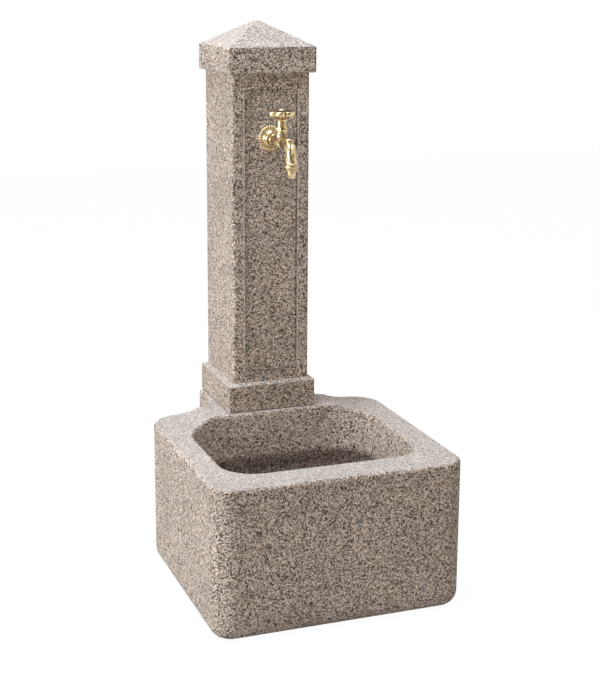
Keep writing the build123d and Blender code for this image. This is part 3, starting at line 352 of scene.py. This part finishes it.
def handledFinish(name, settings, handling):
    material, tree, shader, places = newMaterial(name)
    finish = addNode(tree, "ShaderNodeGroup", {"Vector": places["Object"],
                                               "Mark Scale": settings["markScale"],
                                               "Low": settings["low"], "High": settings["high"]},
                     node_tree=finishGroup)
    stops = list(zip(handling["colourSpread"], (settings["dark"], settings["light"])))
    colour = rampNode(tree, finish.outputs["Marks"], stops)
    roughness = finish.outputs["Roughness"]
    if "tarnish" in settings:  # where the polishing cloth doesn't reach; on the handwheel's domed top this is painted dark reflection
        groove = addNode(tree, "ShaderNodeAttribute", attribute_name="groove").outputs["Fac"]
        colour = mixColours(tree, groove, colour, settings["tarnish"])
        duller = mathNode(tree, "MULTIPLY", groove, handling["tarnishRoughness"])
        roughness = mathNode(tree, "ADD", duller, roughness, clamp=True)
    tree.links.new(colour, shader.inputs["Base Color"])
    tree.links.new(roughness, shader.inputs["Roughness"])
    bump = addNode(tree, "ShaderNodeBump", {"Height": finish.outputs["Height"], "Strength": settings["bump"],
                                            "Distance": handling["bumpDepth"]})
    tree.links.new(bump.outputs["Normal"], shader.inputs["Normal"])
    shader.inputs["Metallic"].default_value = settings["metallic"]
    return material


materials = {name: handledFinish(name, settings, handlingSettings)
             for name, settings in finishSettings.items()}
materials["castStone"] = castStone("castStone", stoneSettings)
slotMaterials = {
    "cast_stone": "castStone", "mortar": "mortar", "polished_brass": "polishedBrass",
    "plain_brass": "plainBrass", "galvanised_steel": "galvanisedSteel", "stainless_steel": "stainlessSteel",
    "black_rubber": "blackRubber", "fibre_packing": "fibrePacking", "grey_plastic": "greyPlastic",
}
for part in frame["record"]["subparts"]:  # every CAD node gets the material of its record slot
    node = frame["nodes"][part["node"]]
    node.data.materials.clear()
    node.data.materials.append(materials[slotMaterials[part["material_slot"]]])
print("materials on the CAD nodes")

# Places on the tap, read from the frame
mm = 0.001
rosetteLow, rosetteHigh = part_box("rosette")
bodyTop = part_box("tap_body")[1].z
bonnetLow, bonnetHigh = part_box("bonnet")
glandLow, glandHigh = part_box("gland_nut")
wheelLow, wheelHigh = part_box("handwheel")
nutLow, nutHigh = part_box("union_nut")
nozzleLow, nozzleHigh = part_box("hose_nozzle")
panelY = rosetteHigh.y
tapZ = (rosetteLow.z + rosetteHigh.z) / 2
stemY = (bonnetLow.y + bonnetHigh.y) / 2
spoutY = (nozzleLow.y + nozzleHigh.y) / 2
forward = Vector((0, -1, 0))
upward = Vector((0, 0, 1))
sideways = Vector((1, 0, 0))
neckPoint = Vector((0, panelY, tapZ))
stemPoint = Vector((0, stemY, 0))
spoutPoint = Vector((0, spoutY, 0))

# Shape helpers
mergeDistance = 0.01 * mm
grooveSharpness = 1.3
hollowGain = 2.2  # how strongly a hollow corner counts as a groove


# Steps from 0 to 1
def shares(count):
    return [step / count for step in range(count + 1)]


# Points of a turned outline, from rows of radius and height in millimetres
def outline(rows, base):
    return [(radius * mm, base + height * mm) for radius, height in rows]


# Points from start to end that rise in between
def swellPoints(start, end, rise, count):
    return [(start[0] + (end[0] - start[0]) * share,
             start[1] + (end[1] - start[1]) * share + rise * math.sin(math.pi * share))
            for share in shares(count)]


def spinProfile(bm, profile, point, axis, steps, closed=False):
    verts = [bm.verts.new(point + sideways * radius + axis * height) for radius, height in profile]
    pairs = list(zip(verts, verts[1:])) + ([(verts[-1], verts[0])] if closed else [])
    edges = [bm.edges.new(pair) for pair in pairs]
    bmesh.ops.spin(bm, geom=verts + edges, cent=point, axis=axis, angle=math.tau, steps=steps, use_merge=True)
    bmesh.ops.remove_doubles(bm, verts=bm.verts[:], dist=mergeDistance)


# How deep each point lies in the ornament's grooves, from 0 to 1; on the handwheel's domed top it holds
# painted dark reflection
def grooveLayer(bm):
    return bm.verts.layers.float.get("groove") or bm.verts.layers.float.new("groove")


# One in the sharp valleys between rounded ridges, nothing on their tops
def valleys(angle, count):
    return (1 - abs(math.sin(angle * count / 2))) ** grooveSharpness


# Place of a point round the neck: distance out of the panel, radius and angle from the top
def neckPolar(point):
    return panelY - point.y, math.hypot(point.x, point.z - tapZ), math.atan2(point.x, point.z - tapZ)


def neckPlace(along, radius, angle):
    return Vector((radius * math.sin(angle), panelY - along, tapZ + radius * math.cos(angle)))


def finishPiece(bm, name, body, replaced, smoothAngle):
    bmesh.ops.remove_doubles(bm, verts=bm.verts[:], dist=mergeDistance)
    bmesh.ops.recalc_face_normals(bm, faces=bm.faces[:])
    groove = grooveLayer(bm)
    bm.normal_update()
    for vert in bm.verts:  # hollow corners count as grooves too
        ways = [(edge.other_vert(vert).co - vert.co).normalized() for edge in vert.link_edges]
        bends = [way.dot(vert.normal) for way in ways]
        vert[groove] = min(1.0, max(vert[groove], hollowGain * sum(bends) / max(1, len(bends))))
    mesh = bpy.data.meshes.new(name)
    bm.to_mesh(mesh)
    bm.free()
    mesh.shade_smooth()
    mesh.set_sharp_from_angle(angle=math.radians(smoothAngle))
    mesh.materials.append(materials["polishedBrass"])
    piece = linkObject(name, mesh)
    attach(piece, body)
    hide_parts(replaced)


# Rosette: fine petals on a dished outer row, round a raised ring and collar
rosetteSettings = {
    "petals": 30,
    "steps": 240,
    "rowPoints": 9,
    "rimRadius": 26.9 * mm,
    "rimThickness": 2.2 * mm,
    "rimRound": 0.6 * mm,
    "backRound": 0.5 * mm,
    "lipInset": 0.4 * mm,
    "rowRadius": 19.5 * mm,
    "rowHeightShare": 0.62,
    "rowSwell": 0.9 * mm,
    "stepInset": 0.9 * mm,
    "stepHeightShare": 0.56,
    "collarRadius": 15.0 * mm,
    "collarSwell": 0.7 * mm,
    "thickness": 8.0 * mm,
    "boreRadius": 11.2 * mm,
    "backGap": 0.2 * mm,
    "petalDepth": 1.5 * mm,
    "petalStart": 0.5 * mm,  # inside the row's radius
    "petalFade": 1.5 * mm,
    "scallop": 0.7 * mm,
    "backKept": 0.3 * mm,  # the back stays flat up to here
    "leastThickness": 0.4 * mm,
    "fullThickness": 3.0 * mm,  # petals have their full depth from here on
}


def buildRosette(settings):
    bm = bmesh.new()
    depth = grooveLayer(bm)
    rim, edge, row = settings["rimRadius"], settings["rimThickness"], settings["rowRadius"]
    thick, bore, collar = settings["thickness"], settings["boreRadius"], settings["collarRadius"]
    lip = settings["lipInset"]
    profile = [(bore, settings["backGap"]), (rim - settings["rimRound"], 0.0), (rim, settings["backRound"]),
               (rim, edge - settings["rimRound"])]
    rowTop = (row - lip, thick * settings["rowHeightShare"])
    step = (row - settings["stepInset"], thick * settings["stepHeightShare"])
    profile += swellPoints((rim - lip, edge), rowTop, settings["rowSwell"], settings["rowPoints"])
    profile += swellPoints(step, (collar, thick), settings["collarSwell"], settings["rowPoints"])
    profile.append((bore, thick))
    spinProfile(bm, profile, neckPoint, forward, settings["steps"], closed=True)
    start = row - settings["petalStart"]
    for vert in bm.verts:
        along, radius, angle = neckPolar(vert.co)
        if along < settings["backKept"] or radius < collar - settings["petalStart"]:
            continue
        weight = min(1, max(0, (radius - start) / settings["petalFade"]))
        groove = valleys(angle, settings["petals"]) * weight
        radius -= settings["scallop"] * groove * max(0, (radius - row) / (rim - row)) ** 2
        sunk = settings["petalDepth"] * groove * min(1, along / settings["fullThickness"])
        vert[depth] = groove
        vert.co = neckPlace(max(settings["leastThickness"], along - sunk), radius, angle)
    finishPiece(bm, "rosette_petals", "fountain", "rosette", 50)


# Tap body: flared neck, gadrooned bulge, valve chamber, and the spout with its rings and leaf
tapSettings = {
    "boreRadius": 9.0 * mm,
    "flangeRadius": 16.3 * mm,
    "flangeFrom": 8.0 * mm,
    "flangeTo": 10.0 * mm,
    "flangeLap": 1.0 * mm,  # into the rosette
    "flangeRound": 0.5 * mm,
    "flareInset": 0.9 * mm,
    "flarePoints": 12,
    "neckRadius": 10.4 * mm,
    "neckEnd": 23.0 * mm,
    "beadRadius": 12.0 * mm,
    "beadEnd": 27.0 * mm,
    "beadPoints": 10,
    "bulgeRadius": 14.0 * mm,
    "bulgeEndRadius": 12.2 * mm,
    "bulgeFullness": 0.55,
    "bulgeEnd": 80.0 * mm,
    "bulgePoints": 40,
    "bulgeTip": (2.0 * mm, 1.0 * mm),  # radius, and how far it stands out
    "tipKept": 2.5 * mm,
    "gadroons": 16,
    "gadroonDepth": 1.3 * mm,
    "gadroonTwist": 2.7,
    "gadroonTarnish": 0.35,
    "gadroonsFrom": 0.02,  # share of the bulge's length
    "gadroonsFull": 0.125,
    "steps": 220,
    "wellRadius": 9.7 * mm,
    "wellDepth": 9.0 * mm,
    "wellMargin": 1.0 * mm,
    "chamberFoot": [(12.2, 2.0), (12.2, 5.2), (13.0, 5.8), (13.4, 6.6), (13.0, 7.6), (12.0, 8.6),
                    (11.4, 9.4)],
    "chamberTop": [(11.4, -1.6), (12.0, -1.0), (12.0, 0.0), (9.8, 0.0)],
    "chamberSteps": 96,
    "armRadius": 11.0 * mm,
    "armDrop": 4.5 * mm,
    "armSegments": 96,
    "bendRadius": 20.0 * mm,
    "armRings": 24,
    "bendRings": 40,
    "spoutRings": 36,
    "leafFrom": 0.34,  # shares of the arm's and spout's length
    "leafTo": 0.97,
    "leafFade": 0.125,
    "leafLines": [(-6, 16, 1.0), (62, 20, 0.8), (-72, 16, 0.8)],  # angle, swing, share of the depth
    "leafLineWidth": 11.0,
    "leafWaves": 1.1,
    "leafDepth": 1.5 * mm,
    "spoutRing": [(9.0, 0.3), (12.2, 0.3), (12.7, 0.8), (12.7, 1.9), (11.7, 2.3), (11.8, 3.3), (11.2, 3.8)],
    "crown": [(6.5, 0.0), (6.5, 3.8), (7.7, 4.4), (8.1, 5.2), (8.1, 6.6), (7.6, 7.5), (6.5, 8.0),
              (3.645, 7.3), (0.0, 7.1)],
    "crownRise": 3.0 * mm,  # above the arm's axis
    "crownSetback": 12.0 * mm,
    "crownSteps": 72,
}


def addNeck(bm, settings):
    bore, flange, neck = settings["boreRadius"], settings["flangeRadius"], settings["neckRadius"]
    low, high, rounded = settings["flangeFrom"], settings["flangeTo"], settings["flangeRound"]
    lap = low - settings["flangeLap"]
    profile = [(bore, lap), (flange - rounded, lap), (flange, low), (flange, high - rounded),
               (flange - rounded, high)]
    flareDepth = flange - settings["flareInset"] - neck
    for share in shares(settings["flarePoints"]):  # trumpet flare, a quarter of an ellipse
        angle = math.pi / 2 * share
        profile.append((neck + flareDepth * (1 - math.sin(angle)),
                        high + (settings["neckEnd"] - high) * (1 - math.cos(angle))))
    beadMiddle = (settings["neckEnd"] + settings["beadEnd"]) / 2
    beadHalf = (settings["beadEnd"] - settings["neckEnd"]) / 2
    for share in shares(settings["beadPoints"])[1:-1]:
        angle = math.pi * share
        profile.append((neck + (settings["beadRadius"] - neck) * math.sin(angle),
                        beadMiddle - beadHalf * math.cos(angle)))
    bulgeStart, bulgeEnd, endRadius = settings["beadEnd"], settings["bulgeEnd"], settings["bulgeEndRadius"]
    peak = settings["bulgeRadius"] - (neck + endRadius) / 2
    for share in shares(settings["bulgePoints"]):  # long enough to carry the stem
        profile.append((neck + (endRadius - neck) * share
                        + peak * math.sin(math.pi * share) ** settings["bulgeFullness"],
                        bulgeStart + (bulgeEnd - bulgeStart) * share))
    tipRadius, tipRise = settings["bulgeTip"]
    profile.append((tipRadius, bulgeEnd + tipRise))
    depth = grooveLayer(bm)
    spinProfile(bm, profile, neckPoint, forward, settings["steps"])
    for vert in bm.verts:
        along, radius, angle = neckPolar(vert.co)
        share = (along - bulgeStart) / (bulgeEnd - bulgeStart)
        if share <= settings["gadroonsFrom"] or radius < settings["tipKept"]:
            continue
        turned = angle + settings["gadroonTwist"] * (share - 0.5)
        groove = valleys(turned, settings["gadroons"]) * min(1, share / settings["gadroonsFull"])
        vert[depth] = settings["gadroonTarnish"] * groove
        vert.co = neckPlace(along, radius - settings["gadroonDepth"] * groove, angle)


def addChamber(bm, settings):
    profile = outline(settings["chamberFoot"], tapZ) + outline(settings["chamberTop"], bodyTop)
    spinProfile(bm, profile, stemPoint, upward, settings["chamberSteps"])


# The ring's next copy, turned about a point or moved on
def nextRing(bm, edges, offset, centre, turn):
    made = bmesh.ops.extrude_edge_only(bm, edges=edges)["geom"]
    verts = [item for item in made if isinstance(item, bmesh.types.BMVert)]
    if turn:
        bmesh.ops.rotate(bm, cent=centre, matrix=turn, verts=verts)
    else:
        bmesh.ops.translate(bm, vec=offset, verts=verts)
    fresh = set(verts)
    return verts, [item for item in made if isinstance(item, bmesh.types.BMEdge)
                   and all(vert in fresh for vert in item.verts)]


# Arm and spout: a ring carried straight, round the bend and down
def addSpout(bm, settings, ringTop):
    bend = settings["bendRadius"]
    start = Vector((0, stemY, tapZ))
    corner = Vector((0, spoutY, tapZ - settings["armDrop"]))
    onward = (corner - start).normalized()
    angle = onward.angle(-upward)
    cut = bend * math.tan(angle / 2)
    centre = corner - onward * cut + sideways.cross(onward) * bend
    facing = onward.to_track_quat("Z", "Y").to_matrix().to_4x4()
    ring = bmesh.ops.create_circle(bm, segments=settings["armSegments"], radius=settings["armRadius"],
                                   matrix=Matrix.Translation(start) @ facing)
    rings = [ring["verts"]]
    edges = list({edge for vert in ring["verts"] for edge in vert.link_edges})
    armRings, bendRings, spoutRings = settings["armRings"], settings["bendRings"], settings["spoutRings"]
    armStep = onward * ((corner - start).length - cut) / armRings
    spoutStep = upward * (ringTop - (corner.z - cut)) / spoutRings
    bendStep = Matrix.Rotation(angle / bendRings, 3, sideways)
    for count, offset, turn in ((armRings, armStep, None), (bendRings, None, bendStep),
                                (spoutRings, spoutStep, None)):
        for _ in range(count):
            verts, edges = nextRing(bm, edges, offset, centre, turn)
            rings.append(verts)
    return rings


# A leaf's winding lines, cut in the rings of the spout
def cutLeaf(bm, rings, settings):
    depth = grooveLayer(bm)
    middles = [sum((vert.co for vert in verts), Vector()) / len(verts) for verts in rings]
    lengths = [0.0]
    for before, after in zip(middles, middles[1:]):
        lengths.append(lengths[-1] + (after - before).length)
    leafFrom, leafTo, fadeOver = settings["leafFrom"], settings["leafTo"], settings["leafFade"]
    lineWidth = settings["leafLineWidth"]
    for index, verts in enumerate(rings):
        place = (lengths[index] / lengths[-1] - leafFrom) / (leafTo - leafFrom)
        if not 0 < place < 1:
            continue
        tangent = middles[min(index + 1, len(rings) - 1)] - middles[max(index - 1, 0)]
        outer = tangent.normalized().cross(sideways)
        wave = math.sin(math.tau * settings["leafWaves"] * place)
        fade = min(1, place / fadeOver, (1 - place) / fadeOver)
        for vert in verts:
            away = vert.co - middles[index]
            turned = math.degrees(math.atan2(away.x, away.dot(outer)))
            groove = fade * max(share * math.exp(-((turned - middle - swing * wave) / lineWidth) ** 2)
                                for middle, swing, share in settings["leafLines"])
            vert[depth] = groove
            vert.co -= away.normalized() * settings["leafDepth"] * groove


def addSpoutRings(bm, settings, ring):
    spinProfile(bm, ring, spoutPoint, upward, settings["chamberSteps"])
    crownPoint = spoutPoint - forward * settings["crownSetback"]
    crown = outline(settings["crown"], tapZ + settings["crownRise"])
    spinProfile(bm, crown, crownPoint, upward, settings["crownSteps"])


def buildTapBody(settings):
    bm = bmesh.new()
    addNeck(bm, settings)
    addChamber(bm, settings)
    ring = outline(settings["spoutRing"], nutHigh.z)
    cutLeaf(bm, addSpout(bm, settings, ring[-1][1]), settings)
    addSpoutRings(bm, settings, ring)
    floor = tapZ - settings["wellDepth"]
    ceiling = tapZ + settings["bulgeRadius"] + settings["wellMargin"]
    for vert in bm.verts:  # well under the bonnet, where the valve sits and lifts
        if math.hypot(vert.co.x, vert.co.y - stemY) < settings["wellRadius"] and floor < vert.co.z < ceiling:
            vert.co.z = floor
    finishPiece(bm, "tap_casting", "fountain", "tap_body", 38)


# Headwork: bonnet with its hexagon, and the tall gland nut
headworkSettings = {
    "bonnetNeck": [(9.0, 1.0), (10.9, 1.0), (10.9, 2.2), (10.1, 2.8)],  # above the tap body
    "bonnetSteps": 72,
    "hexFlats": 23.0 * mm,
    "hexHeight": 7.5 * mm,
    "hexBore": 9.2 * mm,
    "hexRound": 0.6 * mm,
    "glandFoot": [(9.1, 0.0), (10.2, 0.0), (10.6, 0.4), (10.6, 2.2), (10.2, 2.6), (9.6, 3.2)],
    "glandTop": [(9.6, -4.4), (10.2, -3.6), (10.6, -3.0), (10.6, -1.6), (9.8, -0.8), (8.2, 0.0), (4.1, 0.0)],
    "glandSteps": 96,
}


def buildBonnet(settings):
    bm = bmesh.new()
    top = glandLow.z
    low = top - settings["hexHeight"]
    profile = outline(settings["bonnetNeck"], bodyTop)
    profile.append((profile[-1][0], low))
    spinProfile(bm, profile, stemPoint, upward, settings["bonnetSteps"])
    corner, bore = settings["hexFlats"] / 2 / math.cos(math.pi / 6), settings["hexBore"]
    hexagon = bmesh.new()
    spinProfile(hexagon, [(corner, low), (corner, top), (bore, top), (bore, low)], stemPoint, upward, 6,
                closed=True)
    bmesh.ops.bevel(hexagon, geom=hexagon.edges[:], offset=settings["hexRound"], offset_type="OFFSET",
                    segments=3, affect="EDGES", profile=0.5, material=-1)
    mesh = bpy.data.meshes.new("hexagon")
    hexagon.to_mesh(mesh)
    hexagon.free()
    bm.from_mesh(mesh)
    bpy.data.meshes.remove(mesh)
    finishPiece(bm, "bonnet_hexagon", "fountain", "bonnet", 35)


def buildGlandNut(settings):
    bm = bmesh.new()
    profile = outline(settings["glandFoot"], glandLow.z) + outline(settings["glandTop"], glandHigh.z)
    spinProfile(bm, profile, stemPoint, upward, settings["glandSteps"])
    finishPiece(bm, "gland_nut_turned", "fountain", "gland_nut", 35)


# Handwheel: lobed rim, low domed top, hub
wheelSettings = {
    "lobes": 6,
    "steps": 192,
    "rimRadius": 26.9 * mm,
    "gapRadius": 20.4 * mm,
    "gapRoundness": 0.62,
    "foot": [(4.0, 0.0), (7.9, 0.0), (8.4, 0.5), (8.4, 1.0), (9.4, 1.1)],
    "hubTop": [(8.4, -0.8), (7.6, 0.0), (5.6, 0.0), (5.0, -0.6), (5.0, -3.0), (2.0, -3.0)],
    "hubRadius": 8.4 * mm,
    "hubDrop": 0.6 * mm,
    "lobesLow": 1.0 * mm,
    "lobesHigh": 12.8 * mm,
    "bellyRadius": 12.0 * mm,
    "bellyRise": 4.8 * mm,
    "bellyPoints": 12,
    "edgeRound": 1.5 * mm,
    "edgeTurn": 100.0,  # degrees of the rim's round
    "edgePoints": 8,
    "domeRise": 2.8 * mm,
    "domeInset": 0.6 * mm,
    "domePoints": 10,
    "hubGap": 0.5 * mm,
    "hubGroove": 0.3 * mm,
    "webKept": 1.5 * mm,  # round the hub, where the lobes don't reach
    # painted dark reflection on the domed top, carried in the groove attribute
    "domeDarkReflection": 0.85,
    "domeDarkReflectionFrom": 0.3 * mm,  # above the rim
    "gapTarnish": 0.8,
    "gapReach": 0.4,  # of the way to a lobe's crest
}


def buildHandwheel(settings):
    bm = bmesh.new()
    depth = grooveLayer(bm)
    rim, hub, belly = settings["rimRadius"], settings["hubRadius"], settings["bellyRadius"]
    low, high = wheelLow.z + settings["lobesLow"], wheelLow.z + settings["lobesHigh"]
    lip, rise = settings["edgeRound"], settings["domeRise"]
    profile = outline(settings["foot"], wheelLow.z)
    for share in shares(settings["bellyPoints"]):  # cup-shaped underside
        angle = math.pi / 2 * share
        profile.append((belly + (rim - belly) * math.sin(angle),
                        low + settings["bellyRise"] * (1 - math.cos(angle))))
    for share in shares(settings["edgePoints"]):
        angle = math.radians(settings["edgeTurn"] * share)
        profile.append((rim - lip + lip * math.cos(angle), high - lip + lip * math.sin(angle)))
    domeFrom, domeTo = rim - lip - settings["domeInset"], hub + settings["hubGap"]
    for share in shares(settings["domePoints"])[1:]:
        profile.append((domeFrom + (domeTo - domeFrom) * share, high + rise * math.sin(math.pi / 2 * share)))
    profile.append((hub, high + rise - settings["hubGroove"]))
    profile += outline(settings["hubTop"], wheelHigh.z - settings["hubDrop"])
    spinProfile(bm, profile, stemPoint, upward, settings["steps"])
    kept = hub + settings["webKept"]
    gap = settings["gapRadius"]
    for vert in bm.verts:  # draw the round rim in between the lobes
        offset = Vector((vert.co.x, vert.co.y - stemY))
        radius = offset.length
        if radius <= kept:
            continue
        angle = math.atan2(offset.x, -offset.y)
        lobe = abs(math.sin(angle * settings["lobes"] / 2)) ** settings["gapRoundness"]
        share = (radius - kept) / (rim - kept)
        target = kept + (gap + (rim - gap) * lobe - kept) * share
        inGap = settings["gapTarnish"] * max(0.0, 1 - lobe / settings["gapReach"]) * share
        # painted dark reflection on the domed top; patina in the gaps between lobes
        onDome = settings["domeDarkReflection"] if vert.co.z > high + settings["domeDarkReflectionFrom"] else 0.0
        vert[depth] = max(onDome, inGap)
        vert.co.x, vert.co.y = offset.x * target / radius, stemY + offset.y * target / radius
    finishPiece(bm, "handwheel_lobed", "handle", "handwheel", 40)


# Union nut with knurled rings, and the stepped nozzle
spoutEndSettings = {
    "nutFoot": [(9.0, 0.0), (11.1, 0.0), (11.8, 0.5), (12.1, 1.2), (12.1, 2.5), (11.5, 3.0), (11.0, 3.3),
                (11.0, 4.3), (11.6, 4.6), (12.1, 5.1)],
    "nutTop": [(12.1, -1.0), (11.4, -0.2), (10.7, 0.0), (10.4, 0.0)],
    "nutInside": [(10.4, 2.0), (9.0, 2.0)],
    "nutTarnish": 0.3,
    "knurls": 36,
    "knurlSteps": 4,
    "knurlDepth": 0.35 * mm,
    "knurlsFrom": 5.0 * mm,
    "knurlsBelowTop": 0.5 * mm,
    "knurlsOutside": 11.8 * mm,
    "nozzleEnd": [(4.6, 0.0), (6.2, 0.0), (6.6, 0.5), (7.3, 5.2), (8.3, 6.9), (8.5, 7.5), (8.5, 10.4),
                  (8.0, 10.8), (8.0, 12.0), (8.5, 12.4), (8.5, 16.0), (8.0, 16.0)],
    "nozzleFlange": [(8.0, -2.0), (10.1, -2.0), (10.1, 0.0), (4.6, 0.0)],
    "nozzleLift": 2.5 * mm,  # the end stands this much above its solid's
    "nozzleSteps": 72,
}


def buildUnionNut(settings):
    bm = bmesh.new()
    depth = grooveLayer(bm)
    low, top = nutLow.z, nutHigh.z
    profile = outline(settings["nutFoot"], low) + outline(settings["nutTop"], top)
    profile += outline(settings["nutInside"], low)
    spinProfile(bm, profile, spoutPoint, upward, settings["knurls"] * settings["knurlSteps"], closed=True)
    knurlsLow, knurlsHigh = low + settings["knurlsFrom"], top - settings["knurlsBelowTop"]
    for vert in bm.verts:
        offset = Vector((vert.co.x, vert.co.y - spoutY, 0))
        vert[depth] = settings["nutTarnish"]
        if knurlsLow < vert.co.z < knurlsHigh and offset.length > settings["knurlsOutside"]:
            angle = math.atan2(offset.y, offset.x)
            cut = settings["knurlDepth"] * (1 - math.cos(angle * settings["knurls"])) / 2
            vert.co -= offset.normalized() * cut
    finishPiece(bm, "union_nut_ringed", "fountain", "union_nut", 35)


def buildNozzle(settings):
    bm = bmesh.new()
    profile = outline(settings["nozzleEnd"], nozzleLow.z + settings["nozzleLift"])
    profile += outline(settings["nozzleFlange"], nozzleHigh.z)
    spinProfile(bm, profile, spoutPoint, upward, settings["nozzleSteps"], closed=True)
    finishPiece(bm, "nozzle_stepped", "fountain", "hose_nozzle", 35)


buildRosette(rosetteSettings)
buildTapBody(tapSettings)
buildBonnet(headworkSettings)
buildGlandNut(headworkSettings)
buildHandwheel(wheelSettings)
buildUnionNut(spoutEndSettings)
buildNozzle(spoutEndSettings)
print("tap pieces built")

# Floor, world and lamps
studioSettings = {
    "floorSize": 12.0,
    "floorColour": (0.50, 0.50, 0.50),
    "floorRoughness": 0.9,
    "floorLift": 0.93,  # share of plain white in the floor as the camera sees it
    "floorGlow": 1.045,
    "ambient": 0.42,
    "ambientColour": (1.12, 1.0, 0.88),
    "dimFrom": -0.79,  # the unlit end of the studio, in front of the object, as metal reflects it
    "dimTo": -0.94,
    "dimColour": (0.10, 0.09, 0.08),
    "lampAim": (0.0, 0.0, 0.5),
    "lamps": [  # name, watts, direction from the object, distance, diameter, colour
        ("sideLamp", 78.0, (-1.0, -0.05, 0.25), 3.2, 2.0, (0.94, 1.0, 1.08)),
        ("topLamp", 103.0, (-0.15, -0.05, 1.0), 3.2, 2.0, (0.88, 1.0, 1.16)),
    ],
}


# One for the rays that see the pale background: the camera's, and those off metal and through glass
def paleRays(tree):
    rays = addNode(tree, "ShaderNodeLightPath")
    seen = mathNode(tree, "ADD", rays.outputs["Is Camera Ray"], rays.outputs["Is Glossy Ray"])
    seen = mathNode(tree, "ADD", seen, rays.outputs["Is Transmission Ray"], clamp=True)
    return seen, rays.outputs["Is Glossy Ray"]


def buildFloor(settings):
    material = bpy.data.materials.new("paleFloor")
    material.use_nodes = True
    tree = material.node_tree
    shader = tree.nodes["Principled BSDF"]
    shader.inputs["Base Color"].default_value = (*settings["floorColour"], 1)
    shader.inputs["Roughness"].default_value = settings["floorRoughness"]
    lift = mathNode(tree, "MULTIPLY", paleRays(tree)[0], settings["floorLift"])
    glow = addNode(tree, "ShaderNodeEmission", {"Color": (1, 1, 1, 1), "Strength": settings["floorGlow"]})
    blend = addNode(tree, "ShaderNodeMixShader", {0: lift, 1: shader.outputs[0], 2: glow.outputs[0]})
    tree.links.new(blend.outputs[0], tree.nodes["Material Output"].inputs["Surface"])
    bm = bmesh.new()
    bmesh.ops.create_grid(bm, x_segments=1, y_segments=1, size=settings["floorSize"] / 2)
    mesh = bpy.data.meshes.new("floor")
    bm.to_mesh(mesh)
    bm.free()
    mesh.materials.append(material)
    floor = linkObject("floor", mesh)


def buildWorld(settings):
    world = bpy.data.worlds.new("studio")
    bpy.context.scene.world = world
    world.use_nodes = True
    tree = world.node_tree
    background = tree.nodes["Background"]
    seen, glossy = paleRays(tree)
    strength = addNode(tree, "ShaderNodeMapRange", {"Value": seen, "To Min": settings["ambient"],
                                                    "To Max": 1.0})
    tree.links.new(strength.outputs[0], background.inputs["Strength"])
    tint = mixColours(tree, seen, settings["ambientColour"], (1, 1, 1))
    places = addNode(tree, "ShaderNodeTexCoord").outputs
    way = addNode(tree, "ShaderNodeSeparateXYZ", {0: places["Generated"]})
    frontEnd = addNode(tree, "ShaderNodeMapRange", {"Value": way.outputs["Y"],
                                                    "From Min": settings["dimFrom"],
                                                    "From Max": settings["dimTo"]},
                       interpolation_type="SMOOTHSTEP")
    dim = mathNode(tree, "MULTIPLY", frontEnd.outputs[0], glossy)
    tint = mixColours(tree, dim, tint, settings["dimColour"])
    tree.links.new(tint, background.inputs["Color"])


def buildLamps(settings):
    for name, watts, direction, distance, size, colour in settings["lamps"]:
        data = bpy.data.lights.new(name, "AREA")
        data.shape = "DISK"
        data.size = size
        data.energy = watts
        data.color = colour
        away = Vector(direction).normalized()
        place = Matrix.Translation(Vector(settings["lampAim"]) + away * distance)
        linkObject(name, data).matrix_world = place @ away.to_track_quat("Z", "Y").to_matrix().to_4x4()


buildFloor(studioSettings)
buildWorld(studioSettings)
buildLamps(studioSettings)
bpy.context.scene.view_settings.view_transform = "Standard"
print("studio lit")
